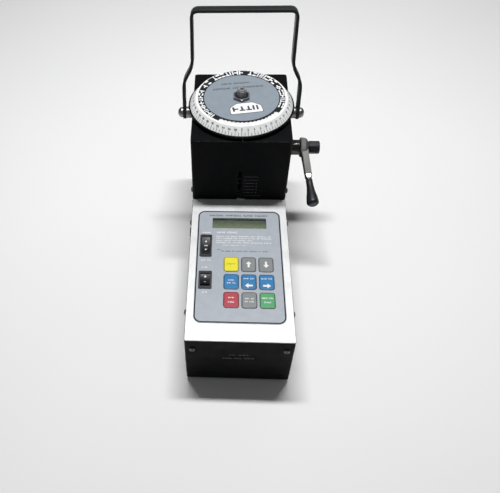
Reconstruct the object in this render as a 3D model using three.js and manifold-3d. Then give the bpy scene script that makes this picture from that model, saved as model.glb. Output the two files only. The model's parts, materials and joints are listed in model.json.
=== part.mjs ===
// Bench-top grain moisture meter: a flat desk console with a display, keys and rocker switches, and
// behind it a hand press in a sheet-metal tower, with a round dial, a crank and a folding handle.
// Millimetres. x runs to the right, y to the back, z up. z = 0 lies under the feet.
import * as THREE from "three";
import { mergeVertices } from "three/addons/utils/BufferGeometryUtils.js";
import Module from "manifold-3d";

const wasm = await Module();
wasm.setup();

// ---------------------------------------------------------------- driving dimensions

const WIDTH = 120;
const DEPTH = 347;
const TOWER_DEPTH = 136;
const CONSOLE_TOP = 92;
const TOWER_TOP = 187.5;
const FOOT_HEIGHT = 6;
const SHEET = 1.5; // wall of the folded covers
const BASE_SHEET = 3; // floor of the base tray
const GAP = 0.3; // clearance between a piece and its neighbour
const EDGE_RADIUS = 3; // bend radius of the tower's cover
const CONSOLE_RADIUS = 2; // bend radius of the console's cover
const PANEL_INSET = 0.6; // how far the console's cover shows beyond its top panel at each side

const SCREW_PITCH = 5; // travel of the spindle for one turn of the dial
const DIAL_TURNS = 6;
const DIAL_RADIUS = 65;
const DIAL_PLATE_RADIUS = 53.2;
const DIAL_TOP = TOWER_TOP + 14.7;
const STUD_HEIGHT = 12; // end of the spindle that stands above the dial
const STUD_RADIUS = 5.5;
const SPINDLE_RADIUS = 8;
const SLEEVE_RADIUS = 12;

const CUP_RADIUS = 26;
const CUP_BORE = 22;
const CUP_BOTTOM = 60;
const CUP_RIM = 94;
const PLUNGER_CLEAR = 2; // plunger face above the rim when the press is open

const GEAR_MODULE = 2;
const WHEEL_TEETH = 24;
const PINION_TEETH = 12;
const TOE = 0.72; // size of a tooth's inner end, as a share of its outer end

const CRANK_REACH = 88.5;
const CRANK_DROP_DEG = 13; // the crank rests pointing forwards and a little down
const CRANK_SPLAY_DEG = 5; // its bar leads away from the tower
const BOLT_END_X = 79;

const HANDLE_SPAN = 141; // across the middles of the two legs at their pivots
const HANDLE_NECK = 119; // across the middles of the legs above the joggle
const HANDLE_RISE = 124; // pivot to the middle of the top bar
const HANDLE_BAR = { width: 16, thick: 3.6 };
const HANDLE_JOGGLE = { low: 41, high: 61 }; // where the legs bend in, measured from the pivots
const HANDLE_LEAN_DEG = 12; // the handle rests leaning back

const KEY = { width: 17.3, length: 21.3, radius: 3, pitchX: 20.4, pitchY: 25.35, x: 10.9, y: -95.7 };
const LABEL = { width: 103, front: -151.6, back: 15.6, radius: 9, thick: 0.6 };
const DISPLAY = { x: 0.4, y: -5, width: 66.4, length: 16.8 };
const MODE_SWITCH = { x: -40.2, y: -42.5, width: 14.4, length: 33.6, tilt: 0 };
const POWER_SWITCH = { x: -39.6, y: -93.8, width: 15.4, length: 24.6, tilt: -10 };

// ---------------------------------------------------------------- derived places

const HALF = WIDTH / 2;
const FRONT = -DEPTH / 2;
const BACK = DEPTH / 2;
const TOWER_FRONT = BACK - TOWER_DEPTH;
const INSIDE = HALF - SHEET;
const TRAY_HALF = INSIDE - 0.4;
const FLOOR = FOOT_HEIGHT + BASE_SHEET;
const PANEL_UNDER = CONSOLE_TOP - SHEET;
const SPINDLE_Y = TOWER_FRONT + 66;
const CRANK_Z = TOWER_TOP - 64;
const HANDLE_Y = TOWER_FRONT + 68.6;
const HANDLE_Z = TOWER_TOP - 10;
const SEAT_TOP = CUP_BOTTOM - 0.1;
const BLOCK_TOP = 56;
const BLOCK_HALF = HALF - 12;
const PLUNGER_FACE = CUP_RIM + PLUNGER_CLEAR;
const PLUNGER_TOP = PLUNGER_FACE + 12;
const GEAR_BACK = CRANK_Z + 22.5;
const CROSSHEAD = {
  half: HALF - 20,
  front: SPINDLE_Y - 35.5,
  back: BACK - 23.5,
  low: TOWER_TOP - 35.5,
  high: TOWER_TOP - 3.5,
};
const COLUMN_FRONT = CROSSHEAD.back - 15;
const HUB = { radius: 13, low: 79.5, high: 90 }; // the crank's hub, from the middle of the meter
const KNOB_END_X = 105;

// ---------------------------------------------------------------- solids

const radians = THREE.MathUtils.degToRad;

// A closed three.js geometry as a manifold solid with its faces outwards.
function solid(geometry) {
  const bare = new THREE.BufferGeometry();
  bare.setAttribute("position", geometry.getAttribute("position"));
  if (geometry.index) bare.setIndex(geometry.index);
  const merged = mergeVertices(bare, 1e-4);
  const position = merged.attributes.position;
  const corners = [new THREE.Vector3(), new THREE.Vector3(), new THREE.Vector3()];
  const triangles = [];
  let volume = 0;
  for (let i = 0; i < merged.index.count; i += 3) {
    const ids = [0, 1, 2].map((k) => merged.index.getX(i + k));
    if (new Set(ids).size < 3) continue;
    ids.forEach((id, k) => corners[k].fromBufferAttribute(position, id));
    volume += corners[0].dot(corners[1].clone().cross(corners[2]));
    triangles.push(ids);
  }
  if (volume < 0) triangles.forEach((ids) => ids.reverse());
  return new wasm.Manifold(
    new wasm.Mesh({
      numProp: 3,
      vertProperties: position.array,
      triVerts: new Uint32Array(triangles.flat()),
    }),
  );
}

function geometryOf(body) {
  const mesh = body.getMesh();
  const geometry = new THREE.BufferGeometry();
  geometry.setAttribute("position", new THREE.BufferAttribute(mesh.vertProperties, 3));
  geometry.setIndex(new THREE.BufferAttribute(mesh.triVerts, 1));
  geometry.computeVertexNormals();
  return geometry;
}

const join = (first, ...rest) => rest.reduce((sum, body) => sum.add(body), first);
const cut = (first, ...rest) => rest.reduce((left, body) => left.subtract(body), first);

function box([x0, x1], [y0, y1], [z0, z1]) {
  const geometry = new THREE.BoxGeometry(x1 - x0, y1 - y0, z1 - z0);
  geometry.translate((x0 + x1) / 2, (y0 + y1) / 2, (z0 + z1) / 2);
  return solid(geometry);
}

// Turns a body made about the z axis so that its axis lies along x, with its +z end at +x.
function alongX(geometry) {
  return geometry.rotateY(Math.PI / 2);
}

// A turned piece about the z axis from [radius, height] points, closed on itself or on the axis.
function turned(profile, segments, closed = false) {
  const points = profile.map(([r, z]) => new THREE.Vector2(r, z));
  if (closed) points.push(points[0].clone());
  return new THREE.LatheGeometry(points, segments).rotateX(Math.PI / 2);
}

function cylinder(radius, low, high, segments = 16) {
  const profile = [
    [0, low],
    [radius, low],
    [radius, high],
    [0, high],
  ];
  return turned(profile, segments);
}

function ring(bore, radius, low, high, segments = 20) {
  const profile = [
    [bore, low],
    [radius, low],
    [radius, high],
    [bore, high],
  ];
  return turned(profile, segments, true);
}

function roundedRectangle(width, length, radius) {
  const x = width / 2;
  const y = length / 2;
  const shape = new THREE.Shape();
  shape.moveTo(-x + radius, -y);
  shape.lineTo(x - radius, -y);
  shape.absarc(x - radius, -y + radius, radius, -Math.PI / 2, 0, false);
  shape.lineTo(x, y - radius);
  shape.absarc(x - radius, y - radius, radius, 0, Math.PI / 2, false);
  shape.lineTo(-x + radius, y);
  shape.absarc(-x + radius, y - radius, radius, Math.PI / 2, Math.PI, false);
  shape.lineTo(-x, -y + radius);
  shape.absarc(-x + radius, -y + radius, radius, Math.PI, Math.PI * 1.5, false);
  return shape;
}

// A flat plate with rounded corners, centred on x, y, between two heights.
function slab({ x = 0, y = 0, width, length, radius }, low, high, curveSegments = 2) {
  const shape = roundedRectangle(width, length, radius);
  const options = { depth: high - low, bevelEnabled: false, curveSegments };
  return solid(new THREE.ExtrudeGeometry(shape, options).translate(x, y, low));
}

// An outline in the y-z plane, as [y, z] points, extruded along x.
function alongWidth(outline, x0, x1) {
  const shape = new THREE.Shape(outline.map(([y, z]) => new THREE.Vector2(y, z)));
  const geometry = new THREE.ExtrudeGeometry(shape, { depth: x1 - x0, bevelEnabled: false });
  geometry.applyMatrix4(new THREE.Matrix4().set(0, 0, 1, x0, 1, 0, 0, 0, 0, 1, 0, 0, 0, 0, 0, 1));
  return solid(geometry);
}

// The outline of a bar of even thickness bent along an open path of points.
function stripOutline(path, thickness) {
  const side = (sign) =>
    path.map((point, i) => {
      const before = path[Math.max(i - 1, 0)];
      const after = path[Math.min(i + 1, path.length - 1)];
      const a = point.clone().sub(before).normalize();
      const b = after.clone().sub(point).normalize();
      if (i === 0) a.copy(b);
      if (i === path.length - 1) b.copy(a);
      const normal = new THREE.Vector2(-a.y - b.y, a.x + b.x).normalize();
      const mitre = thickness / 2 / normal.dot(new THREE.Vector2(-a.y, a.x));
      return point.clone().addScaledVector(normal, sign * mitre);
    });
  return new THREE.Shape([...side(1), ...side(-1).reverse()]);
}

// A body of rings of equal point counts, each joined to the next and the last to the first.
function ringed(rings) {
  const count = rings[0].length;
  const index = [];
  rings.forEach((_, r) => {
    const here = r * count;
    const next = ((r + 1) % rings.length) * count;
    for (let i = 0; i < count; i += 1) {
      const j = (i + 1) % count;
      index.push(here + i, here + j, next + j, here + i, next + j, next + i);
    }
  });
  const geometry = new THREE.BufferGeometry();
  geometry.setAttribute("position", new THREE.Float32BufferAttribute(rings.flat(2), 3));
  geometry.setIndex(index);
  return geometry;
}

// A straight bevel gear about the z axis with its cone's point at the origin. Its teeth shrink evenly
// towards that point. phase turns the gear by that share of one tooth pitch.
function bevelGear({ teeth, mate, bore, backRadius, back, phase }) {
  const cone = Math.atan2(teeth, mate);
  const outer = (GEAR_MODULE * teeth) / 2;
  const coneLength = outer / Math.sin(cone);
  const tooth = [
    { offset: -1.1 * GEAR_MODULE, half: 0.85 * GEAR_MODULE },
    { offset: 0.8 * GEAR_MODULE, half: 0.26 * GEAR_MODULE },
  ];
  const corners = [
    { ...tooth[0], side: -1 },
    { ...tooth[1], side: -1 },
    { ...tooth[1], side: 1 },
    { ...tooth[0], side: 1 },
  ];
  const angles = [];
  const outline = [];
  for (let i = 0; i < teeth; i += 1) {
    for (const { offset, half, side } of corners) {
      const angle = ((i + phase) / teeth) * Math.PI * 2 + (side * half) / outer;
      const radius = coneLength * Math.sin(cone) + offset * Math.cos(cone);
      const height = coneLength * Math.cos(cone) - offset * Math.sin(cone);
      angles.push(angle);
      outline.push([radius * Math.cos(angle), radius * Math.sin(angle), height]);
    }
  }
  const circle = (radius, height) =>
    angles.map((angle) => [radius * Math.cos(angle), radius * Math.sin(angle), height]);
  const toe = outline.map((point) => point.map((value) => value * TOE));
  const face = coneLength * Math.cos(cone) * TOE + GEAR_MODULE / 2;
  return ringed([outline, toe, circle(bore, face), circle(bore, back), circle(backRadius, back)]);
}

// ---------------------------------------------------------------- materials and assembly

function finish(color, roughness, metalness) {
  return new THREE.MeshStandardMaterial({ color, roughness, metalness });
}

const BLACK_PAINT = [0x17181a, 0.5, 0.1];
const GREY_PAINT = [0x969693, 0.5, 0.1];
const SILVER = [0xc9ccd0, 0.35, 0.8];
const LABEL_BLUE = [0xafb6c0, 0.5, 0.0];
const BRIGHT = [0xd8d8d8, 0.2, 1.0];
const STEEL = [0x8f8f8d, 0.4, 1.0];
const CAST = [0x6d7072, 0.7, 0.6];
const BRONZE = [0xb08d57, 0.4, 1.0];
const BLACK_PLASTIC = [0x1b1c1e, 0.45, 0.0];
const RUBBER = [0x141414, 0.9, 0.0];
const BOARD_GREEN = [0x1d5b35, 0.6, 0.0];

function addPart(group, name, body, [color, roughness, metalness]) {
  const geometry = geometryOf(body.isBufferGeometry ? solid(body) : body);
  const mesh = new THREE.Mesh(geometry, finish(color, roughness, metalness));
  mesh.name = name;
  group.add(mesh);
  return mesh;
}

// A group for the pieces of one moving body, with its own origin.
function bodyGroup(parent, x = 0, y = 0, z = 0) {
  const group = new THREE.Group();
  group.position.set(x, y, z);
  parent.add(group);
  return group;
}

const SIDES = [
  ["left", -1],
  ["right", 1],
];

// ---------------------------------------------------------------- chassis

function baseTray() {
  const rim = 14;
  const depth = BACK - SHEET - 0.4;
  const within = (half) => [-half + SHEET, half - SHEET];
  return cut(
    slab({ width: 2 * TRAY_HALF, length: 2 * depth, radius: 2 }, FOOT_HEIGHT, FLOOR + rim),
    box(within(TRAY_HALF), within(depth), [FLOOR, FLOOR + rim + 1]),
  );
}

function addFeet(group) {
  const profile = [
    [0, 1.5],
    [3, 1.5],
    [3, 0],
    [8, 0],
    [9, FOOT_HEIGHT],
    [0, FOOT_HEIGHT],
  ];
  for (const [side, sign] of SIDES) {
    for (const [end, y] of [
      ["front", FRONT + 20],
      ["rear", BACK - 20],
    ]) {
      const foot = addPart(group, `foot_${end}_${side}`, turned(profile, 12), RUBBER);
      foot.position.set(sign * 46, y, 0);
    }
  }
}

const SIDE_SCREWS = { z: CONSOLE_TOP - 8, front: TOWER_FRONT - 170.5, rear: TOWER_FRONT - 35 };
const FRONT_SCREWS = { x: 51.5, z: CONSOLE_TOP - 19 };
const TOWER_SCREWS = { y: TOWER_FRONT + 5, z: 104 };
const PORT = { y: TOWER_FRONT - 50, z: 79, length: 16, height: 9, proud: 1.5, wall: 1.5 };
const JACK = { y: TOWER_FRONT + 22, z: 32 };
const SCREW_HOLE = 1.8;

// Holes for the screws that hold the console's cover to the flanges of its top panel.
function consoleScrewHoles() {
  const holes = [];
  for (const y of [SIDE_SCREWS.front, SIDE_SCREWS.rear]) {
    const across = alongX(cylinder(SCREW_HOLE, -HALF - 1, HALF + 1, 8));
    holes.push(solid(across.translate(0, y, SIDE_SCREWS.z)));
  }
  for (const [, sign] of SIDES) {
    const forward = cylinder(SCREW_HOLE, -8, 8, 8).rotateX(Math.PI / 2);
    holes.push(solid(forward.translate(sign * FRONT_SCREWS.x, FRONT, FRONT_SCREWS.z)));
  }
  return holes;
}

// The front and both sides of the console, folded from one sheet. It is open above, below and behind.
function consoleCover() {
  const back = TOWER_FRONT - GAP;
  const length = back - FRONT;
  const middle = { y: (FRONT + back) / 2 + CONSOLE_RADIUS };
  const outside = { ...middle, width: WIDTH, length: length + 2 * CONSOLE_RADIUS, radius: CONSOLE_RADIUS };
  const inside = {
    y: middle.y + SHEET,
    width: WIDTH - 2 * SHEET,
    length: length + 2 * CONSOLE_RADIUS,
    radius: CONSOLE_RADIUS - SHEET,
  };
  const high = PANEL_UNDER - 0.2;
  return cut(
    slab(outside, FOOT_HEIGHT, high),
    slab(inside, FOOT_HEIGHT - 1, high + 1),
    box([-HALF - 1, HALF + 1], [back, back + 20], [0, CONSOLE_TOP]),
    box(
      [-HALF - 1, -INSIDE + 1],
      [PORT.y - PORT.length / 2 - GAP, PORT.y + PORT.length / 2 + GAP],
      [PORT.z - PORT.height / 2 - GAP, PORT.z + PORT.height / 2 + GAP],
    ),
    ...consoleScrewHoles(),
  );
}

const switchHousing = ({ x, y, width, length }) => ({
  x,
  y,
  width: width - 2.6,
  length: length - 3.4,
  radius: 1,
});

function keyField(margin) {
  return {
    x: KEY.x,
    y: KEY.y,
    width: 2 * KEY.pitchX + KEY.width + margin,
    length: 2 * KEY.pitchY + KEY.length + margin,
    radius: 2,
  };
}

const grown = (plate, by) => ({ ...plate, width: plate.width + by, length: plate.length + by });

// The silver panel on the console: a flat sheet with flanges turned down inside the cover.
function topPanel() {
  const back = TOWER_FRONT - GAP;
  const length = back - FRONT;
  const sheet = {
    y: (FRONT + back) / 2 + 1,
    width: WIDTH - 2 * PANEL_INSET,
    length: length + 2,
    radius: 1,
  };
  const skirt = [PANEL_UNDER - 24, PANEL_UNDER + 0.5];
  const edge = INSIDE - GAP;
  const skirtFront = FRONT + SHEET + GAP;
  const skirtBack = back - 12;
  const flanged = {
    y: (skirtFront + skirtBack) / 2,
    width: 2 * edge,
    length: skirtBack - skirtFront,
    radius: 2,
  };
  const flanges = cut(
    slab(flanged, ...skirt),
    box([-edge + SHEET, edge - SHEET], [skirtFront + SHEET, skirtBack + 1], [0, PANEL_UNDER]),
    box(
      [-HALF, -INSIDE + 6],
      [PORT.y - PORT.length / 2 - 1, PORT.y + PORT.length / 2 + 1],
      [0, PORT.z + PORT.height / 2 + 1],
    ),
  );
  return cut(
    join(slab(sheet, PANEL_UNDER, CONSOLE_TOP), flanges),
    box([-HALF - 1, HALF + 1], [back, back + 20], [0, CONSOLE_TOP + 1]),
    slab(grown({ ...DISPLAY, radius: 1 }, 0.8), PANEL_UNDER - 1, CONSOLE_TOP + 1),
    slab(keyField(5), PANEL_UNDER - 1, CONSOLE_TOP + 1),
    slab(grown(switchHousing(MODE_SWITCH), 0.6), PANEL_UNDER - 1, CONSOLE_TOP + 1),
    slab(grown(switchHousing(POWER_SWITCH), 0.6), PANEL_UNDER - 1, CONSOLE_TOP + 1),
    ...consoleScrewHoles(),
  );
}

// Visits the nine keys, from the rear left one to the front right one.
function eachKey(visit) {
  for (let row = 0; row < 3; row += 1) {
    for (let column = 0; column < 3; column += 1) {
      visit(KEY.x + (column - 1) * KEY.pitchX, KEY.y + (1 - row) * KEY.pitchY, row, column);
    }
  }
}

const LABEL_TOP = CONSOLE_TOP + LABEL.thick;

function overlayLabel() {
  const sheet = {
    y: (LABEL.front + LABEL.back) / 2,
    width: LABEL.width,
    length: LABEL.back - LABEL.front,
    radius: LABEL.radius,
  };
  const holes = [
    slab(grown({ ...DISPLAY, radius: 1 }, 0.6), CONSOLE_TOP - 1, LABEL_TOP + 1, 1),
    slab(grown(switchHousing(MODE_SWITCH), 0.6), CONSOLE_TOP - 1, LABEL_TOP + 1, 1),
    slab(grown(switchHousing(POWER_SWITCH), 0.6), CONSOLE_TOP - 1, LABEL_TOP + 1, 1),
  ];
  eachKey((x, y) => {
    holes.push(slab(grown({ ...KEY, x, y }, 0.6), CONSOLE_TOP - 1, LABEL_TOP + 1, 1));
  });
  return cut(slab(sheet, CONSOLE_TOP, LABEL_TOP, 4), ...holes);
}

function displayWindow() {
  const flange = { ...DISPLAY, width: DISPLAY.width + 5, length: DISPLAY.length + 5, radius: 1 };
  return join(
    slab({ ...DISPLAY, radius: 1 }, PANEL_UNDER - 1.3, CONSOLE_TOP + 0.4),
    slab(flange, PANEL_UNDER - 1.3, PANEL_UNDER - GAP),
  );
}

function displayModule() {
  const bezelTop = PANEL_UNDER - 1.6;
  const bezel = { ...DISPLAY, width: DISPLAY.width + 6, length: DISPLAY.length + 8, radius: 1 };
  const board = { ...DISPLAY, width: DISPLAY.width + 14, length: DISPLAY.length + 19, radius: 1 };
  return join(slab(bezel, bezelTop - 6, bezelTop), slab(board, bezelTop - 7.6, bezelTop - 6));
}

// The circuit board on the floor of the console, with its spacers and its larger components.
function mainBoard() {
  const low = FLOOR + 21;
  const high = low + 1.6;
  const y = FRONT + 85.5;
  const spacers = [];
  for (const sx of [-42, 42]) {
    for (const sy of [-68, 68]) {
      spacers.push(solid(cylinder(3, FLOOR, low + 1, 8).translate(sx, y + sy, 0)));
    }
  }
  return join(
    slab({ y, width: 96, length: 150, radius: 2 }, low, high),
    ...spacers,
    box([-20, 10], [y - 10, y + 4], [high - 0.5, high + 4]),
    box([20, 38], [y + 20, y + 50], [high - 0.5, high + 18]),
    box([-38, -24], [y + 30, y + 54], [high - 0.5, high + 9]),
    solid(cylinder(8, high - 0.5, high + 22, 12).translate(26, y - 46, 0)),
  );
}

// The board under the keys, with one push contact for each key.
function keypadBoard() {
  const high = PANEL_UNDER - 4.5;
  const contacts = [];
  eachKey((x, y) => {
    contacts.push(box([x - 3, x + 3], [y - 3, y + 3], [high - 0.5, PANEL_UNDER - 0.5]));
  });
  return join(slab(keyField(5), high - 1.6, high), ...contacts);
}

const BEZEL_HEIGHT = 1.6;
const ROCKER_PIVOT_Z = LABEL_TOP - 1.1;

// A switch housing: a deep cup with a flat rim that rests on the label.
function switchBody(place) {
  const housing = switchHousing(place);
  const cavity = { ...place, width: place.width - 4, length: place.length - 6, radius: 0.5 };
  const depth = 20;
  return cut(
    join(
      slab({ ...place, radius: 1.5 }, LABEL_TOP, LABEL_TOP + BEZEL_HEIGHT),
      slab(housing, LABEL_TOP - depth, LABEL_TOP + 1),
    ),
    slab(cavity, LABEL_TOP - depth + 2, LABEL_TOP + BEZEL_HEIGHT + 1),
  );
}

// The moving part of a switch, hollowed along its top so that each end stands up for a fingertip.
function rocker(place) {
  const end = (place.length - 6) / 2 - 0.9;
  const half = (place.width - 4) / 2 - GAP;
  const outline = [
    [-end, -1],
    [-end * 0.3, -4],
    [end * 0.3, -4],
    [end, -1],
    [end, 3.1],
    [end * 0.45, 1.9],
    [0, 1.5],
    [-end * 0.45, 1.9],
    [-end, 3.1],
  ];
  return alongWidth(outline, -half, half);
}

function addRocker(parent, name, place) {
  const group = bodyGroup(parent, place.x, place.y, ROCKER_PIVOT_Z);
  group.rotation.x = radians(place.tilt);
  addPart(group, name, rocker(place), BLACK_PLASTIC);
}

// Key caps, in rows from the display to the front edge.
const KEY_NAMES = [
  ["select", "up", "down"],
  ["mode", "left", "right"],
  ["reset", "menu", "enter"],
];
const KEY_COLOURS = [
  [0xe8c21a, 0x8f949b, 0x8f949b],
  [0x1769a8, 0x1769a8, 0x1769a8],
  [0xc3202f, 0x8f949b, 0x1e8f4f],
];

function addKeys(parent) {
  const cap = { ...KEY, x: 0, y: 0 };
  const foot = { width: KEY.width + 2, length: KEY.length + 2, radius: 2 };
  const underLabel = CONSOLE_TOP - GAP;
  eachKey((x, y, row, column) => {
    const body = join(
      slab(foot, PANEL_UNDER + 0.1, underLabel, 1),
      slab(cap, PANEL_UNDER + 0.1, LABEL_TOP + 0.8, 2),
    );
    const colour = KEY_COLOURS[row][column];
    const key = addPart(parent, `key_${KEY_NAMES[row][column]}`, body, [colour, 0.5, 0]);
    key.position.set(x, y, 0);
  });
}

const SCREW_HEAD = 2.2;
const HEAD_SEAT = 0.1; // a screw's head stands this far off the cover

// A domed machine screw about the z axis, with its head above z = 0.
function screw() {
  return turned(
    [
      [0, -6],
      [1.5, -6],
      [1.5, 0],
      [3.5, 0],
      [3.2, 1.1],
      [1.8, 2],
      [0, SCREW_HEAD],
    ],
    8,
  );
}

function addCaseScrews(group) {
  const place = (name, x, y, z, turn) => {
    const mesh = addPart(group, name, screw(), BRIGHT);
    mesh.position.set(x, y, z);
    turn(mesh.rotation);
  };
  for (const [side, sign] of SIDES) {
    const outwards = (rotation) => {
      rotation.y = (sign * Math.PI) / 2;
    };
    const forwards = (rotation) => {
      rotation.x = Math.PI / 2;
    };
    const x = sign * (HALF + HEAD_SEAT);
    place(`side_screw_front_${side}`, x, SIDE_SCREWS.front, SIDE_SCREWS.z, outwards);
    place(`side_screw_rear_${side}`, x, SIDE_SCREWS.rear, SIDE_SCREWS.z, outwards);
    place(`front_screw_${side}`, sign * FRONT_SCREWS.x, FRONT - HEAD_SEAT, FRONT_SCREWS.z, forwards);
    place(`tower_screw_${side}`, x, TOWER_SCREWS.y, TOWER_SCREWS.z, outwards);
  }
}

// The socket for the lead to a printer, in the console's left side.
function printerPort() {
  const outside = -HALF - PORT.proud;
  const around = (middle, size) => [middle - size / 2, middle + size / 2];
  const mouth = { length: PORT.length - 2 * PORT.wall, height: PORT.height - 2 * PORT.wall };
  return cut(
    box([outside, -INSIDE + 8], around(PORT.y, PORT.length), around(PORT.z, PORT.height)),
    box([outside - 1, outside + 6], around(PORT.y, mouth.length), around(PORT.z, mouth.height)),
  );
}

// The round socket for the mains adapter's plug, in the tower's right side.
function powerJack() {
  const profile = [
    [0, -12],
    [4, -12],
    [4, 0],
    [5.5, 0],
    [5.5, 2],
    [2.9, 2],
    [2.9, -8],
    [1, -8],
    [1, 0],
    [0, 0],
  ];
  return alongX(turned(profile, 12)).translate(HALF + 0.1, JACK.y, JACK.z);
}

// ---------------------------------------------------------------- tower and press

const CUP_DOOR = { half: CUP_RADIUS + 3, low: 57, high: 98 };
const SLOT = { half: 2.5, low: CONSOLE_TOP + 1, high: 140 };

function towerCover() {
  const middle = (TOWER_FRONT + BACK) / 2;
  const outside = { y: middle, width: WIDTH, length: TOWER_DEPTH, radius: EDGE_RADIUS };
  const inside = { y: middle, width: WIDTH - 2 * SHEET, length: TOWER_DEPTH - 2 * SHEET, radius: SHEET };
  const across = (radius, y, z, x0, x1, segments) =>
    solid(alongX(cylinder(radius, x0, x1, segments)).translate(0, y, z));
  return cut(
    slab(outside, FOOT_HEIGHT, TOWER_TOP),
    slab(inside, FOOT_HEIGHT - 1, TOWER_TOP - SHEET),
    box([-INSIDE, INSIDE], [TOWER_FRONT - 1, TOWER_FRONT + SHEET + 1], [0, FLOOR + 16]),
    box([-SLOT.half, SLOT.half], [TOWER_FRONT - 1, TOWER_FRONT + 3], [SLOT.low, SLOT.high]),
    box(
      [-HALF - 1, -INSIDE + 1],
      [SPINDLE_Y - CUP_DOOR.half, SPINDLE_Y + CUP_DOOR.half],
      [CUP_DOOR.low, CUP_DOOR.high],
    ),
    solid(cylinder(SLEEVE_RADIUS + 3, TOWER_TOP - 5, TOWER_TOP + 5).translate(0, SPINDLE_Y, 0)),
    across(8 + GAP, SPINDLE_Y, CRANK_Z, INSIDE - 2, HALF + 2, 18),
    across(4 + GAP, JACK.y, JACK.z, INSIDE - 2, HALF + 2, 16),
    across(4 + GAP, HANDLE_Y, HANDLE_Z, -HALF - 2, HALF + 2, 16),
    across(SCREW_HOLE, TOWER_SCREWS.y, TOWER_SCREWS.z, -HALF - 2, HALF + 2, 8),
  );
}

function pressBlock() {
  return box([-BLOCK_HALF, BLOCK_HALF], [CROSSHEAD.front - 10, CROSSHEAD.back], [FLOOR, BLOCK_TOP]);
}

// The insulating plate under the cup, with side rails and an end stop.
function cupSeat() {
  const rail = CUP_RADIUS + 0.4;
  const edge = rail + 4.6;
  return cut(
    box([-BLOCK_HALF, edge], [SPINDLE_Y - edge, SPINDLE_Y + edge], [BLOCK_TOP, SEAT_TOP + 4]),
    box([-BLOCK_HALF - 1, rail], [SPINDLE_Y - rail, SPINDLE_Y + rail], [SEAT_TOP, SEAT_TOP + 5]),
  );
}

// The C-shaped casting: a rear column, a crosshead that holds the turning nut, and a lug for the crank.
function pressFrame() {
  const { half, front, back, low, high } = CROSSHEAD;
  const lug = { low: CRANK_Z - 12, high: CRANK_Z + 12 };
  return cut(
    join(
      box([-half, half], [COLUMN_FRONT, back], [BLOCK_TOP, high]),
      box([-half, half], [front, back], [low, high]),
      box([31, half], [SPINDLE_Y - 10, back], [lug.low, lug.high]),
    ),
    solid(cylinder(SLEEVE_RADIUS + GAP, low - 1, high + 1, 32).translate(0, SPINDLE_Y, 0)),
    solid(alongX(cylinder(6 + GAP, 30, half + 1, 20)).translate(0, SPINDLE_Y, CRANK_Z)),
  );
}

function thrustWasher() {
  return ring(SLEEVE_RADIUS + GAP, 21, GEAR_BACK + GAP, CROSSHEAD.low - GAP);
}

const CRANK_BUSH_END = HUB.low - 0.5;

// The flanged bush in the tower's right side that carries the outer end of the crank shaft.
function crankBush() {
  const profile = [
    [6 + GAP, INSIDE - 8],
    [8, INSIDE - 8],
    [8, HALF + 0.1],
    [10, HALF + 0.1],
    [10, CRANK_BUSH_END - 1],
    [9, CRANK_BUSH_END],
    [6 + GAP, CRANK_BUSH_END],
  ];
  return alongX(turned(profile, 18, true)).translate(0, SPINDLE_Y, CRANK_Z);
}

const LEG_OUTSIDE = (HANDLE_SPAN + HANDLE_BAR.thick) / 2;
const LEG_INSIDE = (HANDLE_SPAN - HANDLE_BAR.thick) / 2;

// A shoulder bolt with a domed head. Its shoulder stands on the tower's side, and one leg of the
// carrying handle turns on the stretch beyond it.
function pivotBolt() {
  const head = LEG_OUTSIDE + GAP;
  const shoulder = LEG_INSIDE - GAP;
  return turned(
    [
      [0, INSIDE - 8],
      [4, INSIDE - 8],
      [4, HALF + 0.1],
      [7, HALF + 0.1],
      [7, shoulder],
      [4, shoulder],
      [4, head],
      [6.35, head],
      [6.1, head + 2.2],
      [4.4, head + 4.6],
      [0, BOLT_END_X],
    ],
    14,
  );
}

function addPivotBolts(group) {
  for (const [side, sign] of SIDES) {
    const bolt = addPart(group, `pivot_bolt_${side}`, pivotBolt(), BRIGHT);
    bolt.rotation.y = (sign * Math.PI) / 2;
    bolt.position.set(0, HANDLE_Y, HANDLE_Z);
  }
}

// ---------------------------------------------------------------- dial, on the turning nut

const SHOULDER = TOWER_TOP + 4.8; // where the sleeve steps down to carry the dial
const SLEEVE_NECK = 8;
const DIAL_SIDES = 48;

// The sleeve with the press's internal thread, plain here. It carries the gear below, the dial above.
function driveNut() {
  return turned(
    [
      [SPINDLE_RADIUS + GAP, GEAR_BACK - 13],
      [SLEEVE_RADIUS, GEAR_BACK - 13],
      [SLEEVE_RADIUS, SHOULDER],
      [SLEEVE_NECK, SHOULDER],
      [SLEEVE_NECK, DIAL_TOP + 3],
      [STUD_RADIUS + GAP, DIAL_TOP + 3],
      [STUD_RADIUS + GAP, SHOULDER - 1.8],
      [SPINDLE_RADIUS + GAP, SHOULDER - 1.8],
    ],
    20,
    true,
  );
}

function driveGear() {
  const gear = {
    teeth: WHEEL_TEETH,
    mate: PINION_TEETH,
    bore: SLEEVE_RADIUS + GAP,
    backRadius: 22.6,
    back: GEAR_BACK - CRANK_Z,
    phase: 0,
  };
  return solid(bevelGear(gear).translate(0, 0, CRANK_Z));
}

// The dial casting: a flat web under the printed plate, a shoulder, a sloping graduated band and a thin rim.
function dialWheel() {
  const band = DIAL_PLATE_RADIUS + GAP;
  return turned(
    [
      [SLEEVE_NECK + GAP, SHOULDER + GAP],
      [48, SHOULDER + GAP],
      [54, TOWER_TOP + 3.2],
      [DIAL_RADIUS, TOWER_TOP + 3.2],
      [DIAL_RADIUS, TOWER_TOP + 5.1],
      [DIAL_RADIUS - 1.9, TOWER_TOP + 5.8],
      [band + 2.8, DIAL_TOP - 1.3],
      [band + 0.3, DIAL_TOP],
      [band, DIAL_TOP],
      [band, DIAL_TOP - 1.2],
      [SLEEVE_NECK + GAP, DIAL_TOP - 1.2],
    ],
    DIAL_SIDES,
    true,
  );
}

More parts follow.
